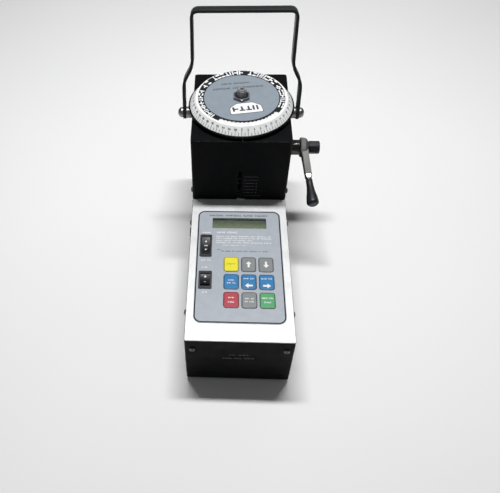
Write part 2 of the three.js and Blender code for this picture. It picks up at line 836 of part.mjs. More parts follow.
function dialPlate() {
  return ring(SLEEVE_NECK + GAP, DIAL_PLATE_RADIUS, DIAL_TOP - 1, DIAL_TOP, DIAL_SIDES);
}

function hexagon(acrossFlats, bore, low, high) {
  const corner = acrossFlats / Math.sqrt(3);
  const outside = new THREE.CylinderGeometry(corner, corner, high - low, 6);
  const body = solid(outside.rotateX(Math.PI / 2).translate(0, 0, (low + high) / 2));
  return bore ? cut(body, solid(cylinder(bore, low - 1, high + 1))) : body;
}

function addDial(parent) {
  const group = bodyGroup(parent, 0, SPINDLE_Y, 0);
  addPart(group, "drive_nut", driveNut(), STEEL);
  addPart(group, "drive_gear", driveGear(), STEEL);
  addPart(group, "dial_wheel", dialWheel(), [0xe6e8e6, 0.5, 0]);
  addPart(group, "dial_plate", dialPlate(), LABEL_BLUE);
  addPart(group, "dial_lock_nut", hexagon(19, SLEEVE_NECK + GAP, DIAL_TOP + 0.2, DIAL_TOP + 3.4), STEEL);
}

// ---------------------------------------------------------------- spindle, which only slides

function spindle() {
  const nose = PLUNGER_FACE + 5;
  return turned(
    [
      [0, nose],
      [5, nose],
      [5, PLUNGER_TOP + GAP],
      [SPINDLE_RADIUS, PLUNGER_TOP + GAP],
      [SPINDLE_RADIUS, SHOULDER - 4],
      [STUD_RADIUS, SHOULDER - 4],
      [STUD_RADIUS, DIAL_TOP + STUD_HEIGHT - 1],
      [STUD_RADIUS - 1, DIAL_TOP + STUD_HEIGHT],
      [0, DIAL_TOP + STUD_HEIGHT],
    ],
    16,
  );
}

function plunger() {
  const nose = PLUNGER_FACE + 5;
  return turned(
    [
      [0, PLUNGER_FACE],
      [CUP_BORE - GAP, PLUNGER_FACE],
      [CUP_BORE - GAP, PLUNGER_FACE + 8],
      [13, PLUNGER_TOP],
      [5 + GAP, PLUNGER_TOP],
      [5 + GAP, nose - GAP],
      [0, nose - GAP],
    ],
    24,
  );
}

// The arm clamped on the spindle. It stays above the cup's rim when the press is closed, and its tip
// runs in the tower's slot, where it points at the depth graduations and stops the spindle turning.
function pointerArm() {
  const low = CUP_RIM + SCREW_PITCH * DIAL_TURNS + 1.2;
  const high = low + 4.5;
  const tip = { low: high - 1.2, high: high + 1.8 };
  const riser = TOWER_FRONT + 7 - SPINDLE_Y;
  const face = TOWER_FRONT - SPINDLE_Y;
  return cut(
    join(
      solid(cylinder(SPINDLE_RADIUS + 3.5, low, high)),
      box([-3, 3], [riser, -8], [low, high]),
      box([-3, 3], [riser, riser + 4], [low, tip.high]),
      box([-1.8, 1.8], [face - 1.6, riser + 1], [tip.low, tip.high]),
      box([-1.8, 4], [face - 1.6, face - 0.7], [tip.low + 0.8, tip.high - 0.8]),
    ),
    solid(cylinder(SPINDLE_RADIUS + GAP, low - 1, high + 1)),
  );
}

function addSpindle(parent) {
  const group = bodyGroup(parent, 0, SPINDLE_Y, 0);
  addPart(group, "spindle", spindle(), STEEL);
  addPart(group, "plunger", plunger(), BRIGHT);
  addPart(group, "pointer_arm", pointerArm(), BRIGHT);
}

// ---------------------------------------------------------------- crank

function crankShaft() {
  const pinionEnd = 29;
  return turned(
    [
      [0, 14],
      [4, 14],
      [4, pinionEnd + GAP],
      [6, pinionEnd + GAP],
      [6, KNOB_END_X - 6],
      [0, KNOB_END_X - 6],
    ],
    16,
  );
}

function crankPinion() {
  const gear = {
    teeth: PINION_TEETH,
    mate: WHEEL_TEETH,
    bore: 4 + GAP,
    backRadius: 9.5,
    back: 29,
    phase: 0.5,
  };
  return bevelGear(gear);
}

const TANG_RADIUS = 2.6;
const BAR_END = 51; // where the metal arm ends and the grip begins

// Sets a bar that points forwards from x = 0 at its place on the hub.
function splayed(bar) {
  return bar.rotate([0, 0, CRANK_SPLAY_DEG]).translate([(HUB.low + HUB.high) / 2, 0, 0]);
}

// The arm: a domed hub, a bar that tapers towards the grip, and a thin tang inside the grip.
function crankArm() {
  const halfThick = 4.25;
  const { radius, low, high } = HUB;
  const hub = turned(
    [
      [0, low],
      [radius - 1.5, low],
      [radius, low + 1.5],
      [radius, high - 5.5],
      [radius - 1.6, high - 1.6],
      [radius - 5.5, high],
      [0, high],
    ],
    24,
  );
  const bar = alongWidth(
    [
      [-8, -6],
      [-8, 6],
      [-BAR_END, 4.25],
      [-BAR_END, -4.25],
    ],
    -halfThick,
    halfThick,
  );
  const tang = cylinder(TANG_RADIUS, BAR_END - 2, CRANK_REACH - 8, 12).rotateX(Math.PI / 2);
  return cut(
    join(solid(alongX(hub)), splayed(bar), splayed(solid(tang))),
    solid(alongX(cylinder(6 + GAP, low - 1, high + 1))),
  );
}

// The moulded grip, flared at its end.
function crankGrip() {
  const bore = TANG_RADIUS + GAP;
  const start = BAR_END + GAP;
  const profile = [
    [bore, start],
    [4.2, start],
    [4.6, start + 3],
    [4.9, start + 14],
    [6, start + 25],
    [7.6, CRANK_REACH - 5],
    [7.4, CRANK_REACH - 2],
    [5, CRANK_REACH],
    [0, CRANK_REACH],
    [0, CRANK_REACH - 7],
    [bore, CRANK_REACH - 7],
  ];
  return splayed(solid(turned(profile, 14, true).rotateX(Math.PI / 2)));
}

// The hexagonal cap on the end of the crank shaft.
function crankKnob() {
  const low = HUB.high + GAP;
  return cut(hexagon(15.5, 0, low, KNOB_END_X), solid(cylinder(6 + GAP, low - 1, KNOB_END_X - 5)));
}

function addCrank(parent) {
  const group = bodyGroup(parent, 0, SPINDLE_Y, CRANK_Z);
  addPart(group, "crank_shaft", alongX(crankShaft()), STEEL);
  addPart(group, "crank_pinion", alongX(crankPinion()), STEEL);
  const knob = addPart(group, "crank_knob", alongX(geometryOf(crankKnob())), BLACK_PLASTIC);
  knob.rotation.x = radians(9);
  const arm = bodyGroup(group);
  arm.rotation.x = radians(CRANK_DROP_DEG);
  addPart(arm, "crank_arm", crankArm(), GREY_PAINT);
  addPart(arm, "crank_grip", crankGrip(), BLACK_PLASTIC);
}

// ---------------------------------------------------------------- carrying handle

// The flat bar, bent in a plane: up from each pivot, in at a joggle, and over the top.
function carryHandle() {
  const leg = HANDLE_SPAN / 2;
  const neck = HANDLE_NECK / 2;
  const bend = 6.5;
  const steps = 4;
  const half = [
    new THREE.Vector2(leg, 0),
    new THREE.Vector2(leg, HANDLE_JOGGLE.low),
    new THREE.Vector2(neck, HANDLE_JOGGLE.high),
  ];
  for (let i = 0; i <= steps; i += 1) {
    const angle = (i / steps) * (Math.PI / 2);
    half.push(
      new THREE.Vector2(
        neck - bend + bend * Math.cos(angle),
        HANDLE_RISE - bend + bend * Math.sin(angle),
      ),
    );
  }
  const mirrored = half.map((point) => new THREE.Vector2(-point.x, point.y)).reverse();
  const outline = stripOutline([...half, ...mirrored], HANDLE_BAR.thick);
  const strip = new THREE.ExtrudeGeometry(outline, { depth: HANDLE_BAR.width, bevelEnabled: false });
  strip.translate(0, 0, -HANDLE_BAR.width / 2).rotateX(Math.PI / 2);
  const eyes = SIDES.map(([, sign]) => {
    const eye = alongX(cylinder(HANDLE_BAR.width / 2, LEG_INSIDE, LEG_OUTSIDE));
    return solid(eye.rotateZ(sign < 0 ? Math.PI : 0));
  });
  return cut(
    join(solid(strip), ...eyes),
    solid(alongX(cylinder(4 + GAP, -LEG_OUTSIDE - 1, LEG_OUTSIDE + 1))),
  );
}

function addHandle(parent) {
  const group = bodyGroup(parent, 0, HANDLE_Y, HANDLE_Z);
  group.rotation.x = -radians(HANDLE_LEAN_DEG);
  addPart(group, "carry_handle", carryHandle(), [0x3c3d3f, 0.4, 0.8]);
}

// ---------------------------------------------------------------- sample cup

const INSULATOR_RADIUS = 15;
const ELECTRODE_RADIUS = 6;

function sampleCup() {
  return turned(
    [
      [INSULATOR_RADIUS, CUP_BOTTOM],
      [CUP_RADIUS, CUP_BOTTOM],
      [CUP_RADIUS, CUP_RIM],
      [CUP_BORE, CUP_RIM],
      [CUP_BORE, CUP_BOTTOM + 4],
      [INSULATOR_RADIUS, CUP_BOTTOM + 4],
    ],
    28,
    true,
  );
}

function addCup(parent) {
  const group = bodyGroup(parent, 0, SPINDLE_Y, 0);
  const insulator = ring(ELECTRODE_RADIUS, INSULATOR_RADIUS - GAP, CUP_BOTTOM, CUP_BOTTOM + 4);
  const electrode = cylinder(ELECTRODE_RADIUS - GAP, CUP_BOTTOM, CUP_BOTTOM + 4.5);
  addPart(group, "sample_cup", sampleCup(), BRIGHT);
  addPart(group, "cup_insulator", insulator, [0xe9e6dc, 0.5, 0]);
  addPart(group, "cup_electrode", electrode, BRONZE);
}

// ---------------------------------------------------------------- the whole meter

function addChassis(parent) {
  const group = bodyGroup(parent);
  addPart(group, "base_tray", baseTray(), BLACK_PAINT);
  addFeet(group);
  addPart(group, "console_cover", consoleCover(), BLACK_PAINT);
  addPart(group, "top_panel", topPanel(), SILVER);
  addPart(group, "overlay_label", overlayLabel(), LABEL_BLUE);
  addPart(group, "display_window", displayWindow(), [0x5a6a4a, 0.1, 0]);
  addPart(group, "display_module", displayModule(), BOARD_GREEN);
  addPart(group, "main_board", mainBoard(), BOARD_GREEN);
  addPart(group, "keypad_board", keypadBoard(), BOARD_GREEN);
  addPart(group, "mode_switch_body", switchBody(MODE_SWITCH), BLACK_PLASTIC);
  addPart(group, "power_switch_body", switchBody(POWER_SWITCH), BLACK_PLASTIC);
  addPart(group, "printer_port", printerPort(), BRIGHT);
  addPart(group, "power_jack", powerJack(), BLACK_PLASTIC);
  addPart(group, "tower_cover", towerCover(), BLACK_PAINT);
  addPart(group, "press_block", pressBlock(), CAST);
  addPart(group, "press_frame", pressFrame(), CAST);
  addPart(group, "cup_seat", cupSeat(), [0xd9d4c4, 0.5, 0]);
  addPart(group, "thrust_washer", thrustWasher(), BRONZE).position.y = SPINDLE_Y;
  addPart(group, "crank_bush", crankBush(), STEEL);
  addPivotBolts(group);
  addCaseScrews(group);
}

// Shifts the meter so that x = 0 and y = 0 are the middle of its whole extent: across from the bolt
// head to the crank's knob, and back from the front screws' heads to the tower's rear.
const meter = new THREE.Group();
const shiftX = -(KNOB_END_X - BOLT_END_X) / 2;
const shiftY = (SCREW_HEAD + HEAD_SEAT) / 2;
const body = bodyGroup(meter, shiftX, shiftY, 0);
addChassis(body);
addKeys(body);
addRocker(body, "mode_rocker", MODE_SWITCH);
addRocker(body, "power_rocker", POWER_SWITCH);
addDial(body);
addSpindle(body);
addCrank(body);
addHandle(body);
addCup(body);

export default meter;
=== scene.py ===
"""Looks of the bench-top grain moisture meter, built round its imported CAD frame.

Blender's own lengths are metres. Shapes are written in millimetres about an origin that comes from
the frame, so that a 2 in the code is 2 mm on the object. Each piece is made for a CAD node: it rides on
that node's body and has its material slot.
"""

import json
import math
import random

import bmesh
import bpy
from mathutils import Matrix, Vector


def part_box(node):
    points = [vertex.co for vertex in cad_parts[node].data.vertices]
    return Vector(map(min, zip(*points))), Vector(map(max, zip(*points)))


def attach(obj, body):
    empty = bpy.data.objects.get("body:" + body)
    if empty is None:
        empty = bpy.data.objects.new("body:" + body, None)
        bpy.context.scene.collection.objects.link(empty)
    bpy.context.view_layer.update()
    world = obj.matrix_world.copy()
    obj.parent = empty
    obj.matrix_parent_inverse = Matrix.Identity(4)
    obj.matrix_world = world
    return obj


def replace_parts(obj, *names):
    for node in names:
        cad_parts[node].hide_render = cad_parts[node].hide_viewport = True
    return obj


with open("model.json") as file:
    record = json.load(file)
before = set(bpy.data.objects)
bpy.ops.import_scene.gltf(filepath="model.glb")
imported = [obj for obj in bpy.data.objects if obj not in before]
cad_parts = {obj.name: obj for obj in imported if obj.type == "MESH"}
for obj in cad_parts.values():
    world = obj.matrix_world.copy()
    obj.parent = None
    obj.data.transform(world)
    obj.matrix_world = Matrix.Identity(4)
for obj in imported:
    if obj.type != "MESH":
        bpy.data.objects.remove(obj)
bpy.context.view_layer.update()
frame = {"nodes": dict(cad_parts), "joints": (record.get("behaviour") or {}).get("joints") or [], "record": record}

MM = 0.001
TURN = 2 * math.pi
QUARTER = TURN / 4
random.seed(7)


# ---------------------------------------------------------------- places, from the frame


def middle(node):
    low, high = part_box(node)
    return (low + high) / 2


def span(node):
    """A node's size along x, y and z, in millimetres."""
    low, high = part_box(node)
    return (high - low) / MM


RECORD = frame["record"]
SLOTS = {part["node"]: part["material_slot"] for part in RECORD["subparts"]}
BODIES = {node: body for body, nodes in RECORD["behaviour"]["bodies"].items() for node in nodes}
JOINTS = {joint["name"]: joint for joint in frame["joints"]}

MID_X = middle("tower_cover").x
TOWER_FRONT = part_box("tower_cover")[0].y
TOWER_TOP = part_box("tower_cover")[1].z
CONSOLE_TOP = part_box("top_panel")[1].z
CONSOLE_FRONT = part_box("console_cover")[0].y
DIAL_TOP = Vector((MID_X, middle("dial_wheel").y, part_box("dial_plate")[1].z))
CRANK_AXIS = Vector(JOINTS["crank_turn"]["pos_m"])
HANDLE_AXIS = Vector(JOINTS["handle_fold"]["pos_m"])

ALONG_X = Matrix.Rotation(math.pi / 2, 3, "Y")
AGAINST_X = Matrix.Rotation(-math.pi / 2, 3, "Y")
FORWARDS = Matrix.Rotation(math.pi / 2, 3, "X")


def under(node):
    """The middle of a node's underside."""
    return Vector((middle(node).x, middle(node).y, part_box(node)[0].z))


def over(node):
    """The middle of a node's top."""
    return Vector((middle(node).x, middle(node).y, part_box(node)[1].z))


def on_dial_axis(node):
    """The point on the dial's axis at the height of a node's underside."""
    return Vector((DIAL_TOP.x, DIAL_TOP.y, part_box(node)[0].z))


def along_shaft(node):
    """Where a node starts and ends along the crank's shaft, in millimetres from the joint's place."""
    low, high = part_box(node)
    return (low.x - CRANK_AXIS.x) / MM, (high.x - CRANK_AXIS.x) / MM


# ---------------------------------------------------------------- materials


class Nodes:
    """Builds one material's node tree. Its coordinates are the object's own, in metres."""

    def __init__(self, name):
        self.material = bpy.data.materials.new(name)
        self.material.use_nodes = True
        self.tree = self.material.node_tree
        self.principled = self.tree.nodes["Principled BSDF"]
        self.place = self.add("ShaderNodeTexCoord").outputs["Object"]

    def add(self, kind, values=None, **settings):
        """A node with settings, and with values for its inputs by name or number."""
        node = self.tree.nodes.new(kind)
        for key, value in settings.items():
            setattr(node, key, value)
        for key, value in (values or {}).items():
            self.fill(node.inputs[key], value)
        return node

    def fill(self, target, value):
        """Gives an input a socket, a number, a vector or an (r, g, b)."""
        if isinstance(value, bpy.types.NodeSocket):
            self.tree.links.new(value, target)
        elif target.type == "RGBA":
            target.default_value = (*value, 1)
        else:
            target.default_value = value

    def noise(self, scale, detail, stretch=(1, 1, 1)):
        mapping = self.add("ShaderNodeMapping", {"Vector": self.place, "Scale": stretch})
        values = {"Vector": mapping.outputs[0], "Scale": scale, "Detail": detail}
        return self.add("ShaderNodeTexNoise", values).outputs["Fac"]

    def ranged(self, value, low, high, start=0.3, end=0.7):
        values = {"Value": value, "From Min": start, "From Max": end, "To Min": low, "To Max": high}
        return self.add("ShaderNodeMapRange", values).outputs["Result"]

    def mix(self, share, first, second):
        """A colour between two, each a socket or an (r, g, b), at the share that a socket gives."""
        values = {0: share, 6: first, 7: second}
        return self.add("ShaderNodeMix", values, data_type="RGBA").outputs[2]

    def bump(self, height, strength, distance):
        values = {"Height": height, "Strength": strength, "Distance": distance}
        return self.add("ShaderNodeBump", values).outputs["Normal"]

    def edges(self, radius):
        """1 on an outside edge and 0 on flat ground, found by comparing a rounded normal."""
        rounded = self.add("ShaderNodeBevel", {"Radius": radius}, samples=4).outputs["Normal"]
        plain = self.add("ShaderNodeNewGeometry").outputs["Normal"]
        dot = self.add("ShaderNodeVectorMath", {0: rounded, 1: plain}, operation="DOT_PRODUCT")
        return self.ranged(dot.outputs["Value"], 1.0, 0.0, 0.86, 0.99)

    def finish(self, colour, roughness, normal=None, **settings):
        """Fills the principled shader's inputs, and gives the material."""
        values = {"Base Color": colour, "Roughness": roughness, **settings}
        if normal:
            values["Normal"] = normal
        for name, value in values.items():
            self.fill(self.principled.inputs[name.replace("_", " ")], value)
        return self.material


def scaled(colour, factor):
    return tuple(min(1.0, channel * factor) for channel in colour)


def painted(name, colour, roughness, edge_wear_and_highlight, specular):
    """Sprayed enamel: faint orange peel, cloudy gloss, dust, and a lighter colour on outside edges, partly rubbed
    wear and partly a painted highlight.
    """
    n = Nodes(name)
    cloud = n.noise(22, 4)
    tone = n.mix(n.ranged(cloud, 0.0, 1.0), scaled(colour, 0.8), scaled(colour, 1.25))
    dust = n.ranged(n.noise(160, 8), 0.0, 0.007, 0.52, 0.75)
    tone = n.mix(dust, tone, (0.25, 0.25, 0.25))
    patchy = n.ranged(n.noise(300, 6), 0.1, 1.0, 0.4, 0.6)
    # Outside edges take the lighter colour: partly wear, partly a painted highlight along the edge.
    rubbed_and_lit_edge = n.add("ShaderNodeMath", {0: n.edges(0.7 * MM), 1: patchy}, operation="MULTIPLY")
    tone = n.mix(rubbed_and_lit_edge.outputs[0], tone, edge_wear_and_highlight)
    rough = n.ranged(n.noise(60, 5), roughness - 0.07, roughness + 0.1)
    peeled = n.bump(n.noise(900, 2), 0.3, 0.05 * MM)
    return n.finish(tone, rough, peeled, Specular_IOR_Level=specular)


def brushed(name, colour, roughness, stretch=(1, 40, 40), metallic=1.0, depth=0.25):
    """Machined or brushed metal: fine lines along the short axis of stretch, with light tarnish."""
    n = Nodes(name)
    lines = n.noise(220, 3, stretch)
    tone = n.mix(n.ranged(lines, 0.0, 1.0), scaled(colour, 0.86), scaled(colour, 1.1))
    tarnish = n.ranged(n.noise(45, 6), 0.0, 0.35, 0.5, 0.8)
    tone = n.mix(tarnish, tone, scaled(colour, 0.55))
    rough = n.ranged(lines, roughness - 0.06, roughness + 0.12)
    grooved = n.bump(lines, depth, 0.03 * MM)
    return n.finish(tone, rough, grooved, Metallic=metallic)


def moulded(name, colour, roughness, grain=2200, depth=0.35):
    """Moulded plastic or rubber with a fine spark-eroded grain."""
    n = Nodes(name)
    tone = n.mix(n.ranged(n.noise(70, 5), 0.0, 1.0), scaled(colour, 0.82), scaled(colour, 1.2))
    rough = n.ranged(n.noise(130, 4), roughness - 0.06, roughness + 0.1)
    return n.finish(tone, rough, n.bump(n.noise(grain, 2), depth, 0.04 * MM))


def printed_film(name, colour, roughness=0.42, specular=0.5):
    """Screen-printed polyester film: a very fine dimple and slightly uneven ink."""
    n = Nodes(name)
    tone = n.mix(n.ranged(n.noise(120, 6), 0.0, 1.0), scaled(colour, 0.95), scaled(colour, 1.05))
    soil = n.ranged(n.noise(30, 5), 0.0, 0.14, 0.5, 0.8)
    tone = n.mix(soil, tone, scaled(colour, 0.6))
    rough = n.ranged(n.noise(500, 3), roughness - 0.05, roughness + 0.08)
    bumpy = n.bump(n.noise(3500, 2), 0.25, 0.02 * MM)
    return n.finish(tone, rough, bumpy, Specular_IOR_Level=specular)


def cast(name, colour):
    """A painted sand casting, with a coarse skin."""
    n = Nodes(name)
    tone = n.mix(n.ranged(n.noise(90, 8), 0.0, 1.0), scaled(colour, 0.7), scaled(colour, 1.3))
    skin = n.bump(n.noise(420, 6), 0.6, 0.35 * MM)
    return n.finish(tone, n.ranged(n.noise(200, 4), 0.5, 0.75), skin, Metallic=0.3)


def circuit(name):
    """Green solder resist over darker copper tracks."""
    n = Nodes(name)
    values = {"Vector": n.place, "Scale": 160, "Mortar Size": 0.03}
    tracks = n.add("ShaderNodeTexBrick", values).outputs["Fac"]
    tone = n.mix(tracks, (0.01, 0.11, 0.04), (0.02, 0.2, 0.07))
    return n.finish(tone, 0.35, n.bump(tracks, 0.3, 0.05 * MM))


def window_glass(name):
    """A thin clear window: mostly see-through, with a reflection that grows towards grazing."""
    n = Nodes(name)
    clear = n.add("ShaderNodeBsdfTransparent", {"Color": (0.9, 0.93, 0.9)})
    shine = n.add("ShaderNodeBsdfGlossy", {"Roughness": n.ranged(n.noise(80, 4), 0.03, 0.12)})
    fresnel = n.add("ShaderNodeFresnel", {"IOR": 1.45})
    shares = {i: node.outputs[0] for i, node in enumerate((fresnel, clear, shine))}
    both = n.add("ShaderNodeMixShader", shares)
    n.fill(n.tree.nodes["Material Output"].inputs["Surface"], both.outputs[0])
    return n.material


def liquid_crystal(name, low_y, high_y):
    """The display's cell: yellow-green, with painted shade making it darker blue-grey towards its rear edge, and
    its characters' faint grid.
    """
    n = Nodes(name)
    split = n.add("ShaderNodeSeparateXYZ", {0: n.place})
    depth = n.ranged(split.outputs["Y"], 0.0, 1.0, low_y, high_y)
    # Painted shade: the cell's colour darkens to blue-grey towards its rear edge.
    tone = n.mix(depth, (0.33, 0.35, 0.24), (0.13, 0.145, 0.15))
    cells = {"Scale": 1.0, "Mortar Size": 0.25 * MM, "Brick Width": 3.9 * MM, "Row Height": 7 * MM}
    grid = n.add("ShaderNodeTexBrick", {"Vector": n.place, **cells}, offset=0.0).outputs["Fac"]
    tone = n.mix(n.ranged(grid, 0.0, 0.12, 0.0, 1.0), tone, (0.26, 0.28, 0.18))
    return n.finish(tone, n.ranged(n.noise(300, 3), 0.25, 0.35))


KEY_COLOURS = {
    "key_yellow": (0.84, 0.76, 0.02),
    "key_grey": (0.235, 0.25, 0.255),
    "key_blue": (0.008, 0.19, 0.45),
    "key_red": (0.46, 0.03, 0.055),
    "key_green": (0.07, 0.36, 0.14),
}
# The material of each slot in the record.
M = {
    "black_paint": painted("black_paint", (0.0032, 0.0034, 0.0042), 0.5, (0.1, 0.1, 0.1), 0.07),
    "grey_paint": painted("grey_paint", (0.2, 0.2, 0.195), 0.5, (0.34, 0.34, 0.33), 0.3),
    "silver_panel": brushed("silver_panel", (0.82, 0.825, 0.83), 0.42, (40, 1, 40), 0.25, 0.12),
    "label_film": printed_film("label_film", (0.405, 0.44, 0.49)),
    "display_glass": window_glass("display_glass"),
    "circuit_board": circuit("circuit_board"),
    "rubber": moulded("rubber", (0.012, 0.012, 0.012), 0.8, 1200, 0.6),
    "black_plastic": moulded("black_plastic", (0.007, 0.008, 0.011), 0.42),
    "bright_metal": brushed("bright_metal", (0.78, 0.78, 0.77), 0.16, (1, 1, 30), 1.0, 0.08),
    "cast_iron": cast("cast_iron", (0.13, 0.15, 0.165)),
    "insulator": moulded("insulator", (0.78, 0.76, 0.68), 0.4, 700, 0.2),
    "bronze": brushed("bronze", (0.56, 0.38, 0.17), 0.3),
    "steel": brushed("steel", (0.4, 0.4, 0.39), 0.34),
    "plated_aluminium": brushed("plated_aluminium", (0.72, 0.72, 0.71), 0.25, (1, 1, 40)),
    "handle_paint": painted("handle_paint", (0.016, 0.0165, 0.0175), 0.42, (0.1, 0.1, 0.1), 0.25),
    "dial_white": printed_film("dial_white", (0.93, 0.94, 0.93), 0.34),
    "dial_plate": printed_film("dial_plate", (0.235, 0.28, 0.325), 0.6),
    **{slot: printed_film(slot, colour, 0.36) for slot, colour in KEY_COLOURS.items()},
}
KEY_EDGES = {
    slot: printed_film(f"{slot}_edge", scaled(colour, 0.42), 0.4) for slot, colour in KEY_COLOURS.items()
}
INK_WHITE = printed_film("ink_white", (0.86, 0.87, 0.87), 0.4)
INK_DARK = printed_film("ink_dark", (0.07, 0.075, 0.085), 0.5, 0.2)
INK_FAINT = printed_film("ink_faint", (0.075, 0.075, 0.078), 0.5)
INK_BLACK = printed_film("ink_black", (0.024, 0.027, 0.034), 0.5, 0.1)
INK_OLIVE = printed_film("ink_olive", (0.33, 0.27, 0.01), 0.4)
PLATE_BLACK = printed_film("plate_black", (0.012, 0.013, 0.016), 0.5, 0.2)
DARK_STEEL = brushed("dark_steel", (0.09, 0.09, 0.095), 0.34, (1, 1, 40))
NUT_STEEL = brushed("nut_steel", (0.2, 0.21, 0.23), 0.42, (1, 1, 40), 0.8)
# A darker copy of the grey paint, used as painted shade on the crank hub's dome and faces.
HUB_PAINTED_SHADE = painted("hub_painted_shade", (0.085, 0.08, 0.074), 0.5, (0.16, 0.155, 0.15), 0.3)
STUD_STEEL = brushed("stud_steel", (0.5, 0.51, 0.53), 0.3, (1, 1, 60), 0.75)
DULL_STEEL = brushed("dull_steel", (0.16, 0.16, 0.16), 0.45, (1, 1, 30))
BUSH_STEEL = brushed("bush_steel", (0.085, 0.082, 0.08), 0.2, (1, 1, 30))
ZINC = brushed("zinc", (0.8, 0.8, 0.8), 0.5, (1, 1, 20), 0.2)
BOLT_STEEL = brushed("bolt_steel", (0.3, 0.3, 0.3), 0.34, (1, 1, 30))
INK_GREY = printed_film("ink_grey", (0.24, 0.26, 0.27), 0.5)


# ---------------------------------------------------------------- mesh helpers

SHARP = math.radians(34)


def build(name, points, faces, node, materials, origin, turn=None, zones=None):
    """A mesh piece for a node, from points in millimetres, turned and then moved to origin."""
    place = Matrix.Translation(origin) @ (turn or Matrix.Identity(3)).to_4x4() @ Matrix.Scale(MM, 4)
    mesh = bpy.data.meshes.new(name)
    mesh.from_pydata([place @ Vector(point) for point in points], [], faces)
    for material in materials or [M[SLOTS[node]]]:
        mesh.materials.append(material)
    if zones:
        mesh.polygons.foreach_set("material_index", zones)
    turn_outwards(mesh)
    smooth(mesh)
    piece = bpy.data.objects.new(name, mesh)
    bpy.context.scene.collection.objects.link(piece)
    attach(piece, BODIES[node])
    return piece


def turn_outwards(mesh, weld=0.0):
    """Turns every face outwards, after points nearer than weld have been joined."""
    shape = bmesh.new()
    shape.from_mesh(mesh)
    if weld:
        bmesh.ops.remove_doubles(shape, verts=shape.verts, dist=weld)
    bmesh.ops.recalc_face_normals(shape, faces=shape.faces)
    shape.to_mesh(mesh)
    shape.free()


def smooth(mesh):
    """Smooth shading, but for edges of more than SHARP."""
    mesh.polygons.foreach_set("use_smooth", [True] * len(mesh.polygons))
    mesh.set_sharp_from_angle(angle=SHARP)


def soften(points, radius, steps=3, closed=False):
    """Rounds the corners of a path of points, each with a curve no longer than half of its sides."""
    points = [Vector(point) for point in points]
    count = len(points)
    result = []
    for i, corner in enumerate(points):
        if not closed and i in (0, count - 1):
            result.append(corner)
            continue
        before = points[i - 1] - corner
        after = points[(i + 1) % count] - corner
        reach = min(radius, before.length / 2.1, after.length / 2.1)
        start = corner + before.normalized() * reach
        end = corner + after.normalized() * reach
        for k in range(steps + 1):
            t = k / steps
            result.append((1 - t) ** 2 * start + 2 * t * (1 - t) * corner + t * t * end)
    return [tuple(point) for point in result]


def revolve(name, profile, node, origin, turn=None, materials=None, steps=96, closed=False, zones=None):
    """A turned piece from (radius, height) points. A zone is the material of each stretch of profile."""
    points, rings, faces, face_zones = [], [], [], []
    for radius, height in profile:
        corners = 1 if radius < 1e-6 else steps
        rings.append(range(len(points), len(points) + corners))
        points += [(x, y, height) for x, y in circle(radius, steps)[:corners]]
    pairs = list(zip(rings, rings[1:]))
    if closed:
        pairs.append((rings[-1], rings[0]))
    for stretch, (near, far) in enumerate(pairs):
        for i in range(steps):
            j = (i + 1) % steps
            loop = (near[i % len(near)], near[j % len(near)], far[j % len(far)], far[i % len(far)])
            corners = list(dict.fromkeys(loop))
            if len(corners) > 2:
                faces.append(corners)
                face_zones.append(zones[stretch] if zones else 0)
    return build(name, points, faces, node, materials, origin, turn, face_zones)


def stacked(name, loops, node, origin, turn=None, materials=None, zones=None, closed=False):
    """A piece from loops of equal point counts, with flat caps at its ends or, if closed, with none."""
    count = len(loops[0])
    faces, face_zones = [], []
    if not closed:
        faces = [tuple(range(count)), tuple(range((len(loops) - 1) * count, len(loops) * count))]
        face_zones = [zones[0], zones[-1]] if zones else []
    for level in range(len(loops) if closed else len(loops) - 1):
        for i in range(count):
            j = (i + 1) % count
            near, far = level * count, (level + 1) % len(loops) * count
            faces.append((near + i, near + j, far + j, far + i))
            if zones:
                face_zones.append(zones[level + 1])
    points = [point for loop in loops for point in loop]
    return build(name, points, faces, node, materials, origin, turn, face_zones)


def polar(radius, angle):
    return radius * math.cos(angle), radius * math.sin(angle)


def circle(radius, steps):
    return [polar(radius, i / steps * TURN) for i in range(steps)]


def rounded_box(width, length, radius, inset=0.0, height=0.0, steps=6):
    """The loop of a rectangle with round corners, drawn in by inset, at a height."""
    radius = max(radius - inset, 0.15)
    x, y = width / 2 - inset - radius, length / 2 - inset - radius
    loop = []
    for quarter, (cx, cy) in enumerate(((x, y), (-x, y), (-x, -y), (x, -y))):
        for k in range(steps + 1):
            angle = (quarter + k / steps) * TURN / 4
            loop.append((cx + radius * math.cos(angle), cy + radius * math.sin(angle), height))
    return loop


def prism(name, outline, low, high, node, origin, turn, materials=None, edge=0.0):
    """An outline in x and y, raised from low to high, with its two rims cut back by edge."""
    middle_point = sum((Vector(point) for point in outline), Vector((0, 0))) / len(outline)

    def ring(height, inset):
        loop = []
        for point in outline:
            offset = Vector(point) - middle_point
            drawn = middle_point + offset * (1 - inset / max(offset.length, inset * 1.01, 1e-6))
            loop.append((drawn.x, drawn.y, height))
        return loop

    loops = [ring(low, 0), ring(high, 0)]
    if edge:
        loops = [ring(low, edge), ring(low + edge, 0), ring(high - edge, 0), ring(high, edge)]
    return stacked(name, loops, node, origin, turn, materials)


def add_slab(points, faces, low, high):
    """Adds a closed plate between two loops of equal point counts."""
    start, count = len(points), len(low)
    points += [*low, *high]
    faces.append(tuple(range(start, start + count)))
    faces.append(tuple(range(start + count, start + 2 * count)))
    for i in range(count):
        j = (i + 1) % count
        faces.append((start + i, start + j, start + count + j, start + count + i))


def ink(name, shapes, node, material, origin, turn=None, low=-0.02, high=0.05):
    """Print with a real thickness: every outline in shapes, in x and y, as one low closed plate."""
    points, faces = [], []
    for outline in shapes:
        add_slab(points, faces, [(x, y, low) for x, y in outline], [(x, y, high) for x, y in outline])
    return build(name, points, faces, node, [material], origin, turn)


def bar(x, y, width, height):
    """A print bar with its middle at x, y."""
    w, h = width / 2, height / 2
    return [(x - w, y - h), (x + w, y - h), (x + w, y + h), (x - w, y + h)]


